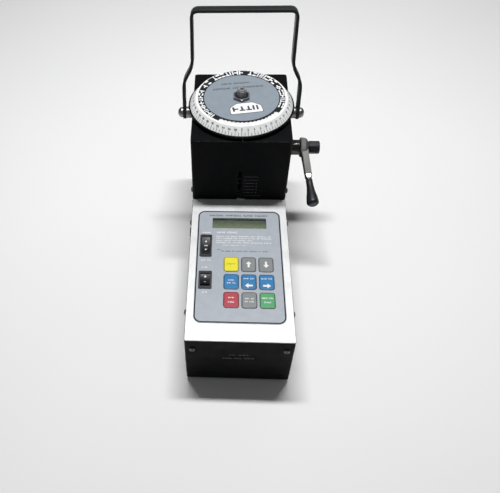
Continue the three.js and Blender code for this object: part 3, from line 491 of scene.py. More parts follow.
# Signs that stand for letters without being any: each is boxes (left, bottom, right, top) in a unit square.
SIGNS = [
    [(0.0, 0.0, 0.3, 1.0), (0.3, 0.36, 0.84, 0.64)],
    [(0.54, 0.0, 0.84, 1.0), (0.0, 0.36, 0.54, 0.64)],
    [(0.0, 0.0, 0.28, 1.0), (0.56, 0.0, 0.84, 1.0)],
    [(0.0, 0.0, 0.84, 0.28), (0.28, 0.28, 0.56, 1.0)],
    [(0.0, 0.0, 0.84, 0.3), (0.0, 0.68, 0.84, 1.0)],
]


def spaced_signs(length, words):
    """Draws the signs of a line of print, as (distance along it, box, share of length per sign)."""
    pitch = length / (sum(words) + len(words) - 1)
    place = 0.0
    for word in words:
        for _ in range(word):
            for box in random.choice(SIGNS):
                yield place, box, pitch
            place += pitch
        place += pitch


def letters(x, y, width, height, words):
    """A line of made-up print, left end at x, middle at y: words are the numbers of signs in each."""
    result = []
    for place, (left, bottom, right, top), pitch in spaced_signs(width, words):
        across, up = (left + right) / 2 * pitch, ((bottom + top) / 2 - 0.5) * height
        result.append(bar(x + place + across, y + up, (right - left) * pitch, (top - bottom) * height))
    return result


def combine(piece, tool, operation):
    """Joins or cuts a piece with a tool mesh, which is then removed."""
    modifier = piece.modifiers.new("combine", "BOOLEAN")
    modifier.object, modifier.operation, modifier.solver = tool, operation, "EXACT"
    graph = bpy.context.evaluated_depsgraph_get()
    mesh = bpy.data.meshes.new_from_object(piece.evaluated_get(graph))
    piece.modifiers.clear()
    piece.data = mesh
    bpy.data.objects.remove(tool)
    smooth(mesh)
    return piece


def rounded_edges(piece, width):
    """Rounds the sharp edges, after flat ground has been made single faces."""
    flat = piece.modifiers.new("flat", "DECIMATE")
    flat.decimate_type, flat.angle_limit = "DISSOLVE", math.radians(0.6)
    bevel = piece.modifiers.new("bevel", "BEVEL")
    bevel.width, bevel.segments, bevel.limit_method = width * MM, 2, "ANGLE"
    bevel.angle_limit = math.radians(36)
    bevel.harden_normals = False
    weighted = piece.modifiers.new("normals", "WEIGHTED_NORMAL")
    weighted.keep_sharp = True


def hex_loops(across_flats, levels):
    """Loops of a hexagon cut back by a cone: each level is (height, largest radius)."""
    loops = []
    steps = 72
    for height, largest in levels:
        loop = []
        for i in range(steps):
            angle = i / steps * TURN
            from_flat = (angle + TURN / 12) % (TURN / 6) - TURN / 12
            radius = min(across_flats / 2 / math.cos(from_flat), largest)
            loop.append((*polar(radius, angle), height))
        loops.append(loop)
    return loops


# ---------------------------------------------------------------- CAD pieces that keep their shape

# How far each one's edges are rounded, in millimetres.
EDGES = {
    "tower_cover": 0.9,
    "console_cover": 0.4,
    "base_tray": 0.3,
    "top_panel": 0.35,
    "overlay_label": 0.12,
    "display_window": 0.15,
    "display_module": 0,
    "mode_switch_body": 0.35,
    "power_switch_body": 0.35,
    "drive_nut": 0.25,
    "drive_gear": 0.2,
    "press_block": 1.2,
    "press_frame": 1.2,
    "cup_seat": 0.5,
    "thrust_washer": 0.3,
    "pointer_arm": 0.2,
    "cup_insulator": 0.2,
    "cup_electrode": 0.2,
    "crank_shaft": 0.3,
    "crank_pinion": 0.2,
    "printer_port": 0.3,
    "main_board": 0,
    "keypad_board": 0,
}
# The pieces that don't look like the rest of their slot.
FINISHES = {"drive_nut": DARK_STEEL, "pointer_arm": M["black_paint"]}


def dress():
    """Gives each CAD piece its material, and rounds its edges."""
    for node, edge in EDGES.items():
        piece = frame["nodes"][node]
        piece.data.materials.clear()
        piece.data.materials.append(FINISHES.get(node, M[SLOTS[node]]))
        smooth(piece.data)
        if edge:
            rounded_edges(piece, edge)


# ---------------------------------------------------------------- label and display


def label_outline():
    """The dark printed line near the label's edge."""
    width, length, _ = span("overlay_label")
    corner, line, steps = 9, 1.5, 10
    section = [(0.5, 0.05), (0.5 + line, 0.05), (0.5 + line, -0.02), (0.5, -0.02)]
    loops = [rounded_box(width, length, corner, inset, height, steps) for inset, height in section]
    place = over("overlay_label")
    stacked("label_outline", loops, "overlay_label", place, materials=[INK_BLACK], closed=True)


# Lines of print on the label: (left end, distance from the label's rear edge, width, height, words).
LABEL_DARK = [
    (-36.9, 7.9, 72.5, 2.5, (7, 8, 5, 6)),
    (-26.6, 63.5, 4.3, 1.4, (3,)),
    (-21.7, 65.9, 55.9, 1.5, (3, 5, 2, 6, 4, 7, 3, 5)),
]
LABEL_WHITE = [
    (-27.2, 36.0, 25.2, 2.6, (5, 6)),
    (-28, 42.6, 67.5, 1.5, (6, 3, 5, 8, 4, 7, 3)),
    (-28, 45.8, 67.5, 1.5, (4, 7, 3, 6, 5, 2, 8)),
    (-28, 49.2, 44, 1.3, (5, 6, 3, 7, 4)),
    (-28, 52.6, 67.5, 1.5, (7, 2, 6, 4, 8, 5)),
    (-20, 56.6, 28, 1.2, (4, 6, 3)),
    (-45.3, 36.6, 11.1, 1.9, (5,)),
    (-45.7, 80.1, 12, 1.4, (4, 3)),
    (-43.7, 90.8, 6.5, 1.9, (3,)),
    (-42.7, 126.5, 5.8, 1.9, (2,)),
]


def label_print():
    rear = span("overlay_label").y / 2
    prints = (("label_print_dark", LABEL_DARK, INK_DARK), ("label_print_white", LABEL_WHITE, INK_WHITE))
    for name, lines, material in prints:
        shapes = []
        for x, back, width, height, words in lines:
            shapes += letters(x, rear - back, width, height, words)
        ink(name, shapes, "overlay_label", material, over("overlay_label"))


def display():
    """The module's liquid crystal cell, under the window."""
    low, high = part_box("display_window")
    width, length, _ = span("display_window")
    loops = [rounded_box(width - 1, length - 1, 0.6, 0, height) for height in (0.05, 0.2)]
    # The cell's painted shade runs from 8 mm behind the window's front edge to 3 mm short of its rear edge.
    glass = liquid_crystal("liquid_crystal", low.y + 8 * MM, high.y - 3 * MM)
    centre = middle("display_window")
    seat = (centre.x, centre.y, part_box("display_module")[1].z)
    stacked("display_cell", loops, "display_window", seat, materials=[glass])


# ---------------------------------------------------------------- keys

ARROW = [(0, 4.6), (-3.3, 0.6), (-1.2, 0.6), (-1.2, -4.4), (1.2, -4.4), (1.2, 0.6), (3.3, 0.6)]


def turned_outline(outline, angle, x=0.0, y=0.0):
    c, s = math.cos(angle), math.sin(angle)
    return [(x + c * px - s * py, y + s * px + c * py) for px, py in outline]


def two_lines(first, second):
    """A legend of two lines of print, each (left end, height of its middle, height, words)."""
    shapes = []
    for x, y, height, words in (first, second):
        shapes += letters(x, y, -2 * x, height, words)
    return shapes


def arrow_below(angle):
    """A legend with a line of print over an arrow that points to one side."""
    return letters(-6.2, 4.6, 12.4, 1.8, (4, 3)) + [turned_outline(ARROW, angle, 0, -5.3)]


KEYS = {
    "key_select": (INK_OLIVE, letters(-4.8, 0.4, 9.6, 1.9, (6,))),
    "key_up": (INK_WHITE, [ARROW]),
    "key_down": (INK_WHITE, [turned_outline(ARROW, TURN / 2)]),
    "key_mode": (INK_WHITE, two_lines((-3.6, 2, 1.7, (4,)), (-5, -2, 1.7, (3, 2)))),
    "key_left": (INK_WHITE, arrow_below(QUARTER)),
    "key_right": (INK_WHITE, arrow_below(-QUARTER)),
    "key_reset": (INK_WHITE, two_lines((-3.6, 3, 1.8, (4,)), (-3.6, -3, 1.8, (4,)))),
    "key_menu": (INK_WHITE, two_lines((-5.2, 2, 1.7, (3, 2)), (-5.4, -2, 1.7, (2, 3)))),
    "key_enter": (INK_WHITE, two_lines((-6.6, 3, 1.9, (4, 3)), (-4, -2.6, 1.8, (4,)))),
}


def key_cap(node, legend_ink, legend):
    """An embossed key: a foot under the label, straight sides, a raised dark frame and a sunk face."""
    foot_width, foot_length, height = span(node)
    flange, corner, foot, sunk = 1.0, 3, 1.1, 0.16
    width, length = foot_width - 2 * flange, foot_length - 2 * flange
    levels = [(-flange, 0.0), (-flange, foot), (0.0, foot), (0.0, height - 0.35), (0.1, height - 0.1)]
    levels += [(0.35, height), (1.0, height), (1.2, height - sunk)]
    loops = [rounded_box(width, length, corner, inset, level) for inset, level in levels]
    origin = under(node)
    zones = [1] * (len(loops) - 1) + [0, 0]
    colours = [M[SLOTS[node]], KEY_EDGES[SLOTS[node]]]
    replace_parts(stacked(f"{node}_cap", loops, node, origin, materials=colours, zones=zones), node)
    face = Vector((origin.x, origin.y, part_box(node)[1].z - sunk * MM))
    ink(f"{node}_legend", legend, node, legend_ink, face)


def keys():
    for node, (legend_ink, legend) in KEYS.items():
        key_cap(node, legend_ink, legend)


# ---------------------------------------------------------------- switches


def rocker(node, joint, length, slack, marks):
    """A rocker whose two ends stand up from a hollow top, with white marks moulded in.

    It rests slack degrees from the middle of its travel. Each mark is (place along the top, outlines).
    """
    end = length / 2
    hollow, crown, bottom = 1.5, 1.6, -4
    steps = 14

    def top(y):
        return hollow + crown * (y / end) ** 2

    places = [end - k / steps * length for k in range(steps + 1)]
    outline = [(-end, -1), (-end * 0.3, bottom), (end * 0.3, bottom), (end, -1)]
    outline += [(y, top(y)) for y in places]
    section = [(-x, y) for x, y in soften(outline, 0.35, 2, closed=True)]
    # The outline lies in y and z, so the prism stands along x.
    lie = Matrix(((0, 0, 1), (-1, 0, 0), (0, 1, 0)))
    pivot = Vector(JOINTS[joint]["pos_m"])
    turn = Matrix.Rotation(math.radians(slack), 3, "X")
    half = span(node).x / 2
    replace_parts(prism(f"{node}_paddle", section, -half, half, node, pivot, turn @ lie, edge=0.3), node)
    for i, (y, shape) in enumerate(marks):
        slope = math.atan2(2 * crown * y / end, end)
        seat = turn @ Vector((0, y, top(y))) * MM
        level = turn @ Matrix.Rotation(slope, 3, "X")
        ink(f"{node}_mark_{i}", shape, node, INK_WHITE, pivot + seat, level, -0.05, 0.08)


def switches():
    triangle = [(-1.5, -1.2), (1.5, -1.2), (0, 1.3)]
    squares = [bar(-1.1, 0, 1.4, 1.5), bar(1.1, 0, 1.4, 1.5)]
    marks = [(6.6, [triangle]), (0, squares), (-6.6, [turned_outline(triangle, TURN / 2)])]
    rocker("mode_rocker", "mode_rock", 26.2, 0, marks)
    marks = [(4.6, [circle(1.3, 24)]), (-4.0, [bar(0, 0, 2.2, 0.7)])]
    rocker("power_rocker", "power_rock", 16.6, -10, marks)


# ---------------------------------------------------------------- dial

PLATE_BLACK_FROM = 45.9  # radius at which the plate's blue-grey field ends
DIAL_BORE = 8.3
DIAL_DIVISIONS = 100
BAND = {"inner": 56.3, "outer": 63.1, "drop": 8.9}
PRINT_TURN = math.radians(10)  # the dial stands this far round from upright


def arc_bar(radius, width, start, end):
    """A print bar bent round the origin, between two angles."""
    steps = max(2, int((end - start) / math.radians(3)) + 1)
    angles = [start + (end - start) * k / steps for k in range(steps + 1)]
    near = [polar(radius - width / 2, angle) for angle in angles]
    far = [polar(radius + width / 2, angle) for angle in reversed(angles)]
    return near + far


def arc_letters(inside, outside, start, end, words):
    """Made-up signs that stand round an arc, between two radii and two angles."""
    tall = outside - inside
    shapes = []
    for place, (left, bottom, right, top), pitch in spaced_signs(end - start, words):
        radius = inside + (bottom + top) / 2 * tall
        angle = start + place
        shapes.append(arc_bar(radius, (top - bottom) * tall, angle + left * pitch, angle + right * pitch))
    return shapes


def dial_wheel():
    """The casting: a web, a thin black rim, the white graduated band, and a lip round the plate."""
    radius = span("dial_wheel").x / 2
    drop, inner, outer = BAND["drop"], BAND["inner"], BAND["outer"]
    lip = span("dial_plate").x / 2 + 0.1
    rim_low, rim_high, web, seat = -11.5, -9.6, -9.5, -1.2
    rim = [(54, rim_low), (radius, rim_low), (radius, rim_high), (outer + 0.4, -drop)]
    under = soften([(48.5, web - 0.3), *rim, (outer, -drop)], 0.6)[1:-1]
    band = [(outer, -drop), (inner, -0.15), (inner - 0.15, 0), (lip, 0)]
    profile = [(DIAL_BORE, web), (48, web), *under, *band, (lip, seat), (DIAL_BORE, seat)]
    start = 2 + len(under)
    zones = [1 if start <= i < start + len(band) else 0 for i in range(len(profile))]
    colours = [M["black_paint"], M["dial_white"]]
    piece = revolve("dial_casting", profile, "dial_wheel", DIAL_TOP, None, colours, 200, True, zones)
    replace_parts(piece, "dial_wheel")


def dial_plate():
    radius = span("dial_plate").x / 2
    profile = [(DIAL_BORE, -1), (radius, -1), (radius, -0.1), (radius - 0.1, 0)]
    profile += [(PLATE_BLACK_FROM, 0), (DIAL_BORE + 0.1, 0), (DIAL_BORE, -0.1)]
    zones = [0, 1, 1, 1, 0, 0, 0]
    colours = [M["dial_plate"], PLATE_BLACK]
    piece = revolve("dial_face", profile, "dial_plate", DIAL_TOP, None, colours, 160, True, zones)
    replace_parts(piece, "dial_plate")


def ring_crescent(plate, widest):
    """Black ink that widens the plate's black ring towards the rear, out to the radius widest."""
    start, end = math.radians(8), math.radians(172)
    steps = 48
    near, far = [], []
    for k in range(steps + 1):
        angle = start + (end - start) * k / steps
        radius = plate - 0.1 + (widest - plate) * math.sin(k / steps * TURN / 2) ** 0.6
        near.append(polar(plate - 0.3, angle))
        far.append(polar(radius, angle))
    return near + far[::-1]


def dial_rim_print():
    """White signs on a black ring that widens towards the rear, and a white arc over its front."""
    plate, widest = span("dial_plate").x / 2, BAND["inner"] - 0.2
    ink("dial_ring_crescent", [ring_crescent(plate, widest)], "dial_plate", PLATE_BLACK, DIAL_TOP)
    inside, beside, behind = 47.2, plate - 0.3, widest - 0.5
    words = ((-24, 30, beside, (9,)), (152, 229, beside, (1, 10)), (34, 148, behind, (7, 7, 1)))
    shapes = []
    for start, end, outside, counts in words:
        shapes += arc_letters(inside, outside, math.radians(start), math.radians(end), counts)
    start, end, front_inner, teeth = math.radians(-121), math.radians(-35), 49.8, 15
    shapes.append(arc_bar((front_inner + plate) / 2, plate - front_inner, start, end))
    for i in range(teeth):
        angle = start + (i + 0.5) / teeth * (end - start)
        half = math.radians(random.uniform(0.9, 1.9))
        shapes.append(arc_bar(front_inner - 0.3, 1.4, angle - half, angle + half))
    ink("dial_ring_strokes", shapes, "dial_plate", INK_WHITE, DIAL_TOP, high=0.1)


def badge_outline(width, height, corner):
    """A plate with an arched top."""
    x, low = width / 2, -height / 2
    shoulder, crown = height * 0.2, height * 0.62
    right = [(x, low, 0), (x * 0.97, shoulder, 0), (x * 0.5, crown, 0)]
    left = [(-px, py, 0) for px, py, _ in reversed(right)]
    rounded = soften([left[-1], *right, *left[:-1]], corner, 5, closed=True)
    return [(px, py) for px, py, _ in rounded]


def dial_face_print():
    """Two dark lines of print behind the stud and an arched white badge in front of it."""
    lean = math.radians(8)
    rear_line = [turned_outline(shape, lean, -7, 28.6) for shape in letters(-17.8, 0, 35.6, 3.2, (5, 8))]
    near_line = [turned_outline(shape, lean, -4, 19.5) for shape in letters(-32, 0, 64, 3.2, (8, 4, 9))]
    ink("dial_face_strokes", rear_line + near_line, "dial_plate", INK_DARK, DIAL_TOP)
    place = DIAL_TOP + Vector((5.2, -22.4, 0)) * MM, Matrix.Rotation(PRINT_TURN, 3, "Z")
    ink("dial_badge_edge", [badge_outline(40.5, 18.6, 3)], "dial_plate", INK_DARK, *place)
    ink("dial_badge", [badge_outline(38.9, 17, 2.4)], "dial_plate", INK_WHITE, *place, high=0.12)
    marks = letters(-16.2, 0.2, 32.4, 8.4, (4,))
    ink("dial_badge_marks", marks, "dial_plate", INK_DARK, *place, 0.08, 0.18)


def band_frame(angle, share):
    """The place and the turn of print on the sloping band, at a share of its width from the inside."""
    radius = BAND["inner"] + share * (BAND["outer"] - BAND["inner"])
    height = -share * BAND["drop"]
    slope = math.atan2(BAND["drop"], BAND["outer"] - BAND["inner"])
    spin = Matrix.Rotation(angle, 3, "Z")
    # x runs across the band's print, y up the slope towards the dial's middle.
    lie = Matrix(((0, -math.cos(slope), math.sin(slope)), (1, 0, 0), (0, math.sin(slope), math.cos(slope))))
    return Vector((*polar(radius, angle), height)), spin @ lie


def division(i):
    """The angle of a division of the dial, counted from the front."""
    return -QUARTER + i / DIAL_DIVISIONS * TURN


def dial_ticks():
    """A line at each division, longer at every second one and longest at every tenth."""
    half, thick = 0.3, 0.05
    points, faces = [], []
    for i in range(DIAL_DIVISIONS):
        start = 0.66 if i % 2 else (0.52 if i % 10 else 0.44)
        near, turn = band_frame(division(i), start)
        far, _ = band_frame(division(i), 0.99)
        side = turn @ Vector((half, 0, 0))
        out = turn @ Vector((0, 0, thick))
        corners = (near - side, near + side, far + side, far - side)
        low = [corner - 0.4 * out for corner in corners]
        high = [corner + out for corner in corners]
        add_slab(points, faces, low, high)
    build("dial_ticks", points, faces, "dial_wheel", [INK_GREY], DIAL_TOP)


def digits(text, size):
    """The mesh of a number in Blender's own font, centred on x, in millimetres."""
    curve = bpy.data.curves.new("digits", "FONT")
    curve.body, curve.size, curve.align_x, curve.extrude = text, size, "CENTER", 0.04
    curve.offset = 0.03 * size
    curve.resolution_u = 2
    holder = bpy.data.objects.new("digits", curve)
    bpy.context.scene.collection.objects.link(holder)
    mesh = bpy.data.meshes.new_from_object(holder)
    bpy.data.objects.remove(holder)
    return mesh


def numbers(name, places, node, material, origin):
    """Joins (number, place, turn) items into one piece of print."""
    size = 3.4
    points, faces = [], []
    for number, place, turn in places:
        mesh = digits(str(number), size)
        base = len(points)
        points += [place + turn @ vertex.co for vertex in mesh.vertices]
        faces += [tuple(base + corner for corner in polygon.vertices) for polygon in mesh.polygons]
        bpy.data.meshes.remove(mesh)
    piece = build(name, points, faces, node, [material], origin)
    turn_outwards(piece.data, 0.002 * MM)


def dial_numbers():
    """Every second division has its number, upright for a reader in front of it."""
    places = [(i, *band_frame(division(i), 0.47 if i % 10 else 0.4)) for i in range(0, DIAL_DIVISIONS, 2)]
    numbers("dial_numbers", places, "dial_wheel", INK_DARK, DIAL_TOP)


def lock_nut():
    height = span("dial_lock_nut").z
    across, corner = 19.0, 11.2
    face = across / 2 + 0.15
    levels = [(0, face), (0.5, corner), (height - 0.6, corner), (height, face)]
    base = on_dial_axis("dial_lock_nut")
    nut = stacked("lock_nut", hex_loops(across, levels), "dial_lock_nut", base, materials=[NUT_STEEL])
    bore = [(0, -1), (DIAL_BORE, -1), (DIAL_BORE, 6), (0, 6)]
    hole = revolve("nut_hole", bore, "dial_lock_nut", base, steps=48)
    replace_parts(combine(nut, hole, "DIFFERENCE"), "dial_lock_nut")


def dial():
    dial_wheel()
    dial_plate()
    dial_rim_print()
    dial_face_print()
    dial_ticks()
    dial_numbers()
    lock_nut()


# ---------------------------------------------------------------- press

SCREW_STEPS = 40


def ring(radius, height):
    return [(x, y, height) for x, y in circle(radius, SCREW_STEPS)]


def threaded(radius, depth, pitch, low, high):
    """Loops of a bar with a thread: the radius falls in a V as each turn of the helix passes."""
    loops = []
    per_turn = 8
    levels = int((high - low) / pitch * per_turn)
    for level in range(levels + 1):
        height = low + (high - low) * level / levels
        fade = min(1.0, (height - low) / pitch, (high - height) / pitch)
        loop = []
        for i in range(SCREW_STEPS):
            share = i / SCREW_STEPS
            phase = (height / pitch - share) % 1.0
            groove = depth * (1 - abs(2 * phase - 1)) * fade
            loop.append((*polar(radius - groove, share * TURN), height))
        loops.append(loop)
    return loops


def spindle():
    """The press screw: a plain nose, a coarse thread inside the nut, and a fine-threaded stud on top."""
    size = span("spindle")
    stud, socket, coarse_to = 5.5, 2.2, size.z - 26.5
    loops = [ring(4.6, 0), ring(5, 0.4), ring(5, 7.2), ring(7.6, 7.3)]
    loops += threaded(size.x / 2, 1.1, 5.0, 7.5, coarse_to)
    loops += [ring(stud, coarse_to + 0.3)]
    loops += threaded(stud, 0.7, 1.75, coarse_to + 0.5, size.z - 1.2)
    loops += [ring(stud - 1.0, size.z), ring(socket, size.z), ring(socket, size.z - 3)]
    zones = [0 if loop[0][2] <= coarse_to else 1 for loop in loops] + [1]
    colours = [DARK_STEEL, STUD_STEEL]
    piece = stacked("press_screw", loops, "spindle", on_dial_axis("spindle"), None, colours, zones)
    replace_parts(piece, "spindle")


def plunger():
    radius, height = span("plunger").x / 2, span("plunger").z
    groove = [(radius, 4.2), (radius - 0.8, 4.5), (radius - 0.8, 5.3), (radius, 5.6)]
    corners = [(0, 0), (radius, 0), *groove, (radius, 8), (13, height), (5.3, height), (5.3, 4.7), (0, 4.7)]
    piece = revolve("press_plunger", soften(corners, 0.35, 2), "plunger", on_dial_axis("plunger"))
    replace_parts(piece, "plunger")


def sample_cup():
    radius, height = span("sample_cup").x / 2, span("sample_cup").z
    bore, floor_top, hole = radius - 4, 4, 15
    grip = [(radius, 22), (radius - 0.7, 22.5), (radius - 0.7, 26.5), (radius, 27)]
    corners = [(hole, 0), (radius, 0), *grip, (radius, height), (bore, height)]
    corners += [(bore, floor_top), (hole, floor_top)]
    profile = soften(corners, 0.5, 2, closed=True)
    piece = revolve("cup_body", profile, "sample_cup", on_dial_axis("sample_cup"), steps=112, closed=True)
    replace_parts(piece, "sample_cup")


# ---------------------------------------------------------------- crank

CRANK_DROP = math.radians(13)  # the crank rests this far below level, pointing forwards
CRANK_SPLAY = math.radians(5)  # its bar leads this far away from the tower
KNOB_TURN = math.radians(9)
CRANK_BORE = 6.3
BAR_HALF_THICK = 4.25
BAR_END = 51
CRANK_REACH = 88.5


def crank_bush():
    """A flanged bush with a groove round its flange."""
    start, end = along_shaft("crank_bush")
    wall = along_shaft("tower_cover")[1]
    body, flange, groove = 8, 10, 9.2
    corners = [(CRANK_BORE, start), (body, start), (body, wall + 0.1), (flange, wall + 0.1)]
    corners += [(flange, wall + 4), (groove, wall + 4.6), (groove, wall + 6), (flange, wall + 6.6)]
    corners += [(flange, end), (CRANK_BORE, end)]
    profile = soften(corners, 0.6, closed=True)
    piece = revolve("shaft_bush", profile, "crank_bush", CRANK_AXIS, ALONG_X, [BUSH_STEEL], 72, True)
    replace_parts(piece, "crank_bush")


def hub_ends():
    """Where the hub starts and ends along the shaft."""
    return along_shaft("crank_arm")[0], along_shaft("crank_knob")[0] - 0.3


def bar_place():
    """The origin and turn of a piece whose own z runs out along the crank's bar."""
    origin = CRANK_AXIS + Vector((sum(hub_ends()) / 2 * MM, 0, 0))
    turn = Matrix.Rotation(CRANK_DROP, 3, "X") @ Matrix.Rotation(CRANK_SPLAY, 3, "Z") @ FORWARDS
    return origin, turn


def crank_arm():
    """A domed hub and a forged bar that narrows away from it, with a bright bevelled end."""
    start, end = hub_ends()
    radius = 13
    dome = [(radius, end - 5.5), (radius - 1.6, end - 1.6), (radius - 5.5, end)]
    profile = soften([(CRANK_BORE, start), (radius, start), *dome, (CRANK_BORE, end)], 1.8, 4, closed=True)
    # The hub's round side keeps the grey paint; its dome and faces take the darker copy as painted shade.
    colours = [M["grey_paint"], M["bright_metal"], HUB_PAINTED_SHADE]
    zones = [0 if near > radius - 0.5 else 2 for near, _ in profile]
    hub = revolve("crank_lever", profile, "crank_arm", CRANK_AXIS, ALONG_X, colours, closed=True, zones=zones)
    stations = [
        (7.5, 6.6, 4.6),
        (11, 6.5, 4.6),
        (15, 6.1, BAR_HALF_THICK),
        (BAR_END - 6, 4.4, BAR_HALF_THICK),
        (BAR_END - 0.6, 3.7, 3.2),
        (BAR_END, 3.5, 2.9),
        (BAR_END + 0.05, 2.6, 2.6),
        (CRANK_REACH - 9, 2.6, 2.6),
        (CRANK_REACH - 8, 2.2, 2.2),
    ]
    loops = []
    for reach, half_tall, half_thick in stations:
        round_off = 0.98 * half_tall if half_tall == half_thick else 1.1
        loops.append([(x, y, reach) for x, y, _ in rounded_box(2 * half_thick, 2 * half_tall, round_off)])
    zones = [0] * 4 + [1] * 6
    lever = stacked("crank_bar", loops, "crank_arm", *bar_place(), colours, zones)
    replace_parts(combine(hub, lever, "UNION"), "crank_arm")


def crank_grip():
    """A moulded grip: a ferrule, a slim waist, and a flared round end."""
    bore, start, end = 2.9, BAR_END + 0.3, CRANK_REACH
    corners = [(bore, start), (4.0, start), (4.4, start + 1), (4.4, start + 2.2), (4.05, start + 2.7)]
    corners += [(4.3 + 0.0052 * k * k, start + 3 + k) for k in range(1, 22, 2)]
    corners += [(7.4, end - 6.5), (7.65, end - 4.5), (7.4, end - 2), (5, end), (0, end)]
    corners += [(0, end - 7), (bore, end - 7)]
    profile = soften(corners, 0.9, closed=True)
    piece = revolve("crank_handgrip", profile, "crank_grip", *bar_place(), steps=64, closed=True)
    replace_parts(piece, "crank_grip")


def crank_knob():
    start, end = along_shaft("crank_knob")
    across, corner, face = 15.5, 8.9, 7.5
    levels = [(start, face), (start + 0.7, corner), (end - 1.0, corner), (end - 0.4, 8.2), (end, face)]
    turn = Matrix.Rotation(KNOB_TURN, 3, "X") @ ALONG_X
    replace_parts(stacked("shaft_cap", hex_loops(across, levels), "crank_knob", CRANK_AXIS, turn), "crank_knob")


def crank():
    crank_bush()
    crank_arm()
    crank_grip()
    crank_knob()


# ---------------------------------------------------------------- carrying handle

LEAN = math.radians(12)  # the handle rests leaning back
HANDLE_BAR = {"width": 16, "thick": 3.6}
# Up the right leg, in x and distance from the pivots.
HANDLE_PATH = [(70.5, 0), (70.5, 41), (59.5, 61), (59.5, 124)]


def carry_handle():
    """A flat bar with round tips, bent in a plane, its corners rounded as a bent bar's are."""
    half, thick = HANDLE_BAR["width"] / 2, HANDLE_BAR["thick"] / 2
    leg = HANDLE_PATH[0][0]
    left = [(-x, z) for x, z in reversed(HANDLE_PATH)]
    path = [Vector(point) for point in soften(HANDLE_PATH + left, 8, 8)]
    tip_steps = 7
    tip = [k / tip_steps * QUARTER for k in range(tip_steps, 0, -1)]
    stations = [(Vector((leg, -half * math.sin(angle))), half * math.cos(angle)) for angle in tip]
    stations += [(point, half) for point in path]
    stations += [(Vector((-leg, -half * math.sin(angle))), half * math.cos(angle)) for angle in reversed(tip)]
    loops = []
    for i, (point, width) in enumerate(stations):
        before = stations[max(i - 1, 0)][0]
        after = stations[min(i + 1, len(stations) - 1)][0]
        along = (after - before).normalized()
        across = Vector((along.y, -along.x))
        width = max(width, 0.4)
        section = rounded_box(2 * width, 2 * thick, min(0.55, width * 0.9), 0, 0, 3)
        loops.append([(point.x + across.x * t, y, point.y + across.y * t) for y, t, _ in section])
    piece = stacked("handle_bar", loops, "carry_handle", HANDLE_AXIS, Matrix.Rotation(-LEAN, 3, "X"))
    reach, radius = 80, 4.3
    hole = [(0, -reach), (radius, -reach), (radius, reach), (0, reach)]
    bore = revolve("handle_hole", hole, "carry_handle", HANDLE_AXIS, ALONG_X, steps=40)
    combine(piece, bore, "DIFFERENCE")
    # The photo shows none of this thin bar's shadow on the dial.
    piece.visible_shadow = False
    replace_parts(piece, "carry_handle")


def pivot_bolts():
    """A bright shoulder bolt at each side, with a domed head."""
    wall = span("tower_cover").x / 2 + 0.1
    seat = span("carry_handle").x / 2 + 0.3
    shoulder = seat - HANDLE_BAR["thick"] - 0.6
    shank, collar, head, rim, inner_end = 4, 7, 6.35, 1.4, 50.5
    for side, turn, sign in (("left", AGAINST_X, -1), ("right", ALONG_X, 1)):
        node = f"pivot_bolt_{side}"
        low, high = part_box(node)
        end = (high.x - HANDLE_AXIS.x if sign > 0 else HANDLE_AXIS.x - low.x) / MM
        corners = [(0, inner_end), (shank, inner_end), (shank, wall), (collar, wall), (collar, shoulder)]
        corners += [(shank, shoulder), (shank, seat), (head, seat)]
        angles = [k / 10 * QUARTER for k in range(10)]
        dome = [(head * math.cos(a), seat + rim + (end - seat - rim) * math.sin(a)) for a in angles]
        profile = soften(corners, 0.4, 2) + dome + [(0, end)]
        piece = revolve(f"shoulder_bolt_{side}", profile, node, HANDLE_AXIS, turn, [BOLT_STEEL], 56)
        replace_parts(piece, node)


# ---------------------------------------------------------------- screws, feet and sockets

SCREW_PROUD = 2.2


def screw_seat(node):
    """The turn of a screw and the middle of the face that its head stands on."""
    low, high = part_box(node)
    seat = (low + high) / 2
    head = SCREW_PROUD * MM
    if node.startswith("front"):
        seat.y = low.y + head
        return FORWARDS, seat
    if node.endswith("left"):
        seat.x = low.x + head
        return AGAINST_X, seat
    seat.x = high.x - head
    return ALONG_X, seat


def screws():
    """Domed machine screws with a cross recess."""
    shank, head, rim, rise = 1.5, 3.5, 0.5, 1.7
    angles = [k / 7 * QUARTER for k in range(7)]
    dome = [(head * math.cos(a), rim + rise * math.sin(a)) for a in angles]
    profile = [(0, -6), (1.1, -6), (shank, -5.5), (shank, 0), (3.3, 0), (head, 0.2), *dome, (0, SCREW_PROUD)]
    recess = [(x, y) for x, y, _ in rounded_box(3.6, 0.75, 0.3, 0, 0, 2)]
    for node in sorted(n for n in frame["nodes"] if "_screw_" in n):
        turn, seat = screw_seat(node)
        pan = revolve(f"{node}_pan", profile, node, seat, turn, [DULL_STEEL], 40)
        angle = random.uniform(0, QUARTER)
        for k in range(2):
            spin = turn @ Matrix.Rotation(angle + k * QUARTER, 3, "Z")
            combine(pan, prism("recess", recess, 0.9, 3, node, seat, spin), "DIFFERENCE")
        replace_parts(pan, node)


def feet():
    for node in ("foot_front_left", "foot_front_right", "foot_rear_left", "foot_rear_right"):
        height = span(node).z
        corners = [(0, 1.5), (3, 1.5), (3, 0), (8, 0), (9, height), (0, height)]
        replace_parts(revolve(f"{node}_pad", soften(corners, 0.7), node, under(node), steps=56), node)


def printer_port():
    """Nine pins in two rows, in the port's shell."""
    centre = middle("printer_port")
    pitch, row_height = 2.3, 1.3
    pins = []
    for row, count in ((row_height, 5), (-row_height, 4)):
        pins += [((k - (count - 1) / 2) * pitch, row) for k in range(count)]
    profile = [(0, 0), (0.5, 0), (0.5, 3.4), (0.3, 4.0), (0, 4.1)]
    for i, (y, z) in enumerate(pins):
        seat = Vector((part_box("printer_port")[0].x + 6 * MM, centre.y + y * MM, centre.z + z * MM))
        pin = revolve(f"port_pin_{i}", profile, "printer_port", seat, AGAINST_X, [M["bronze"]], 16)


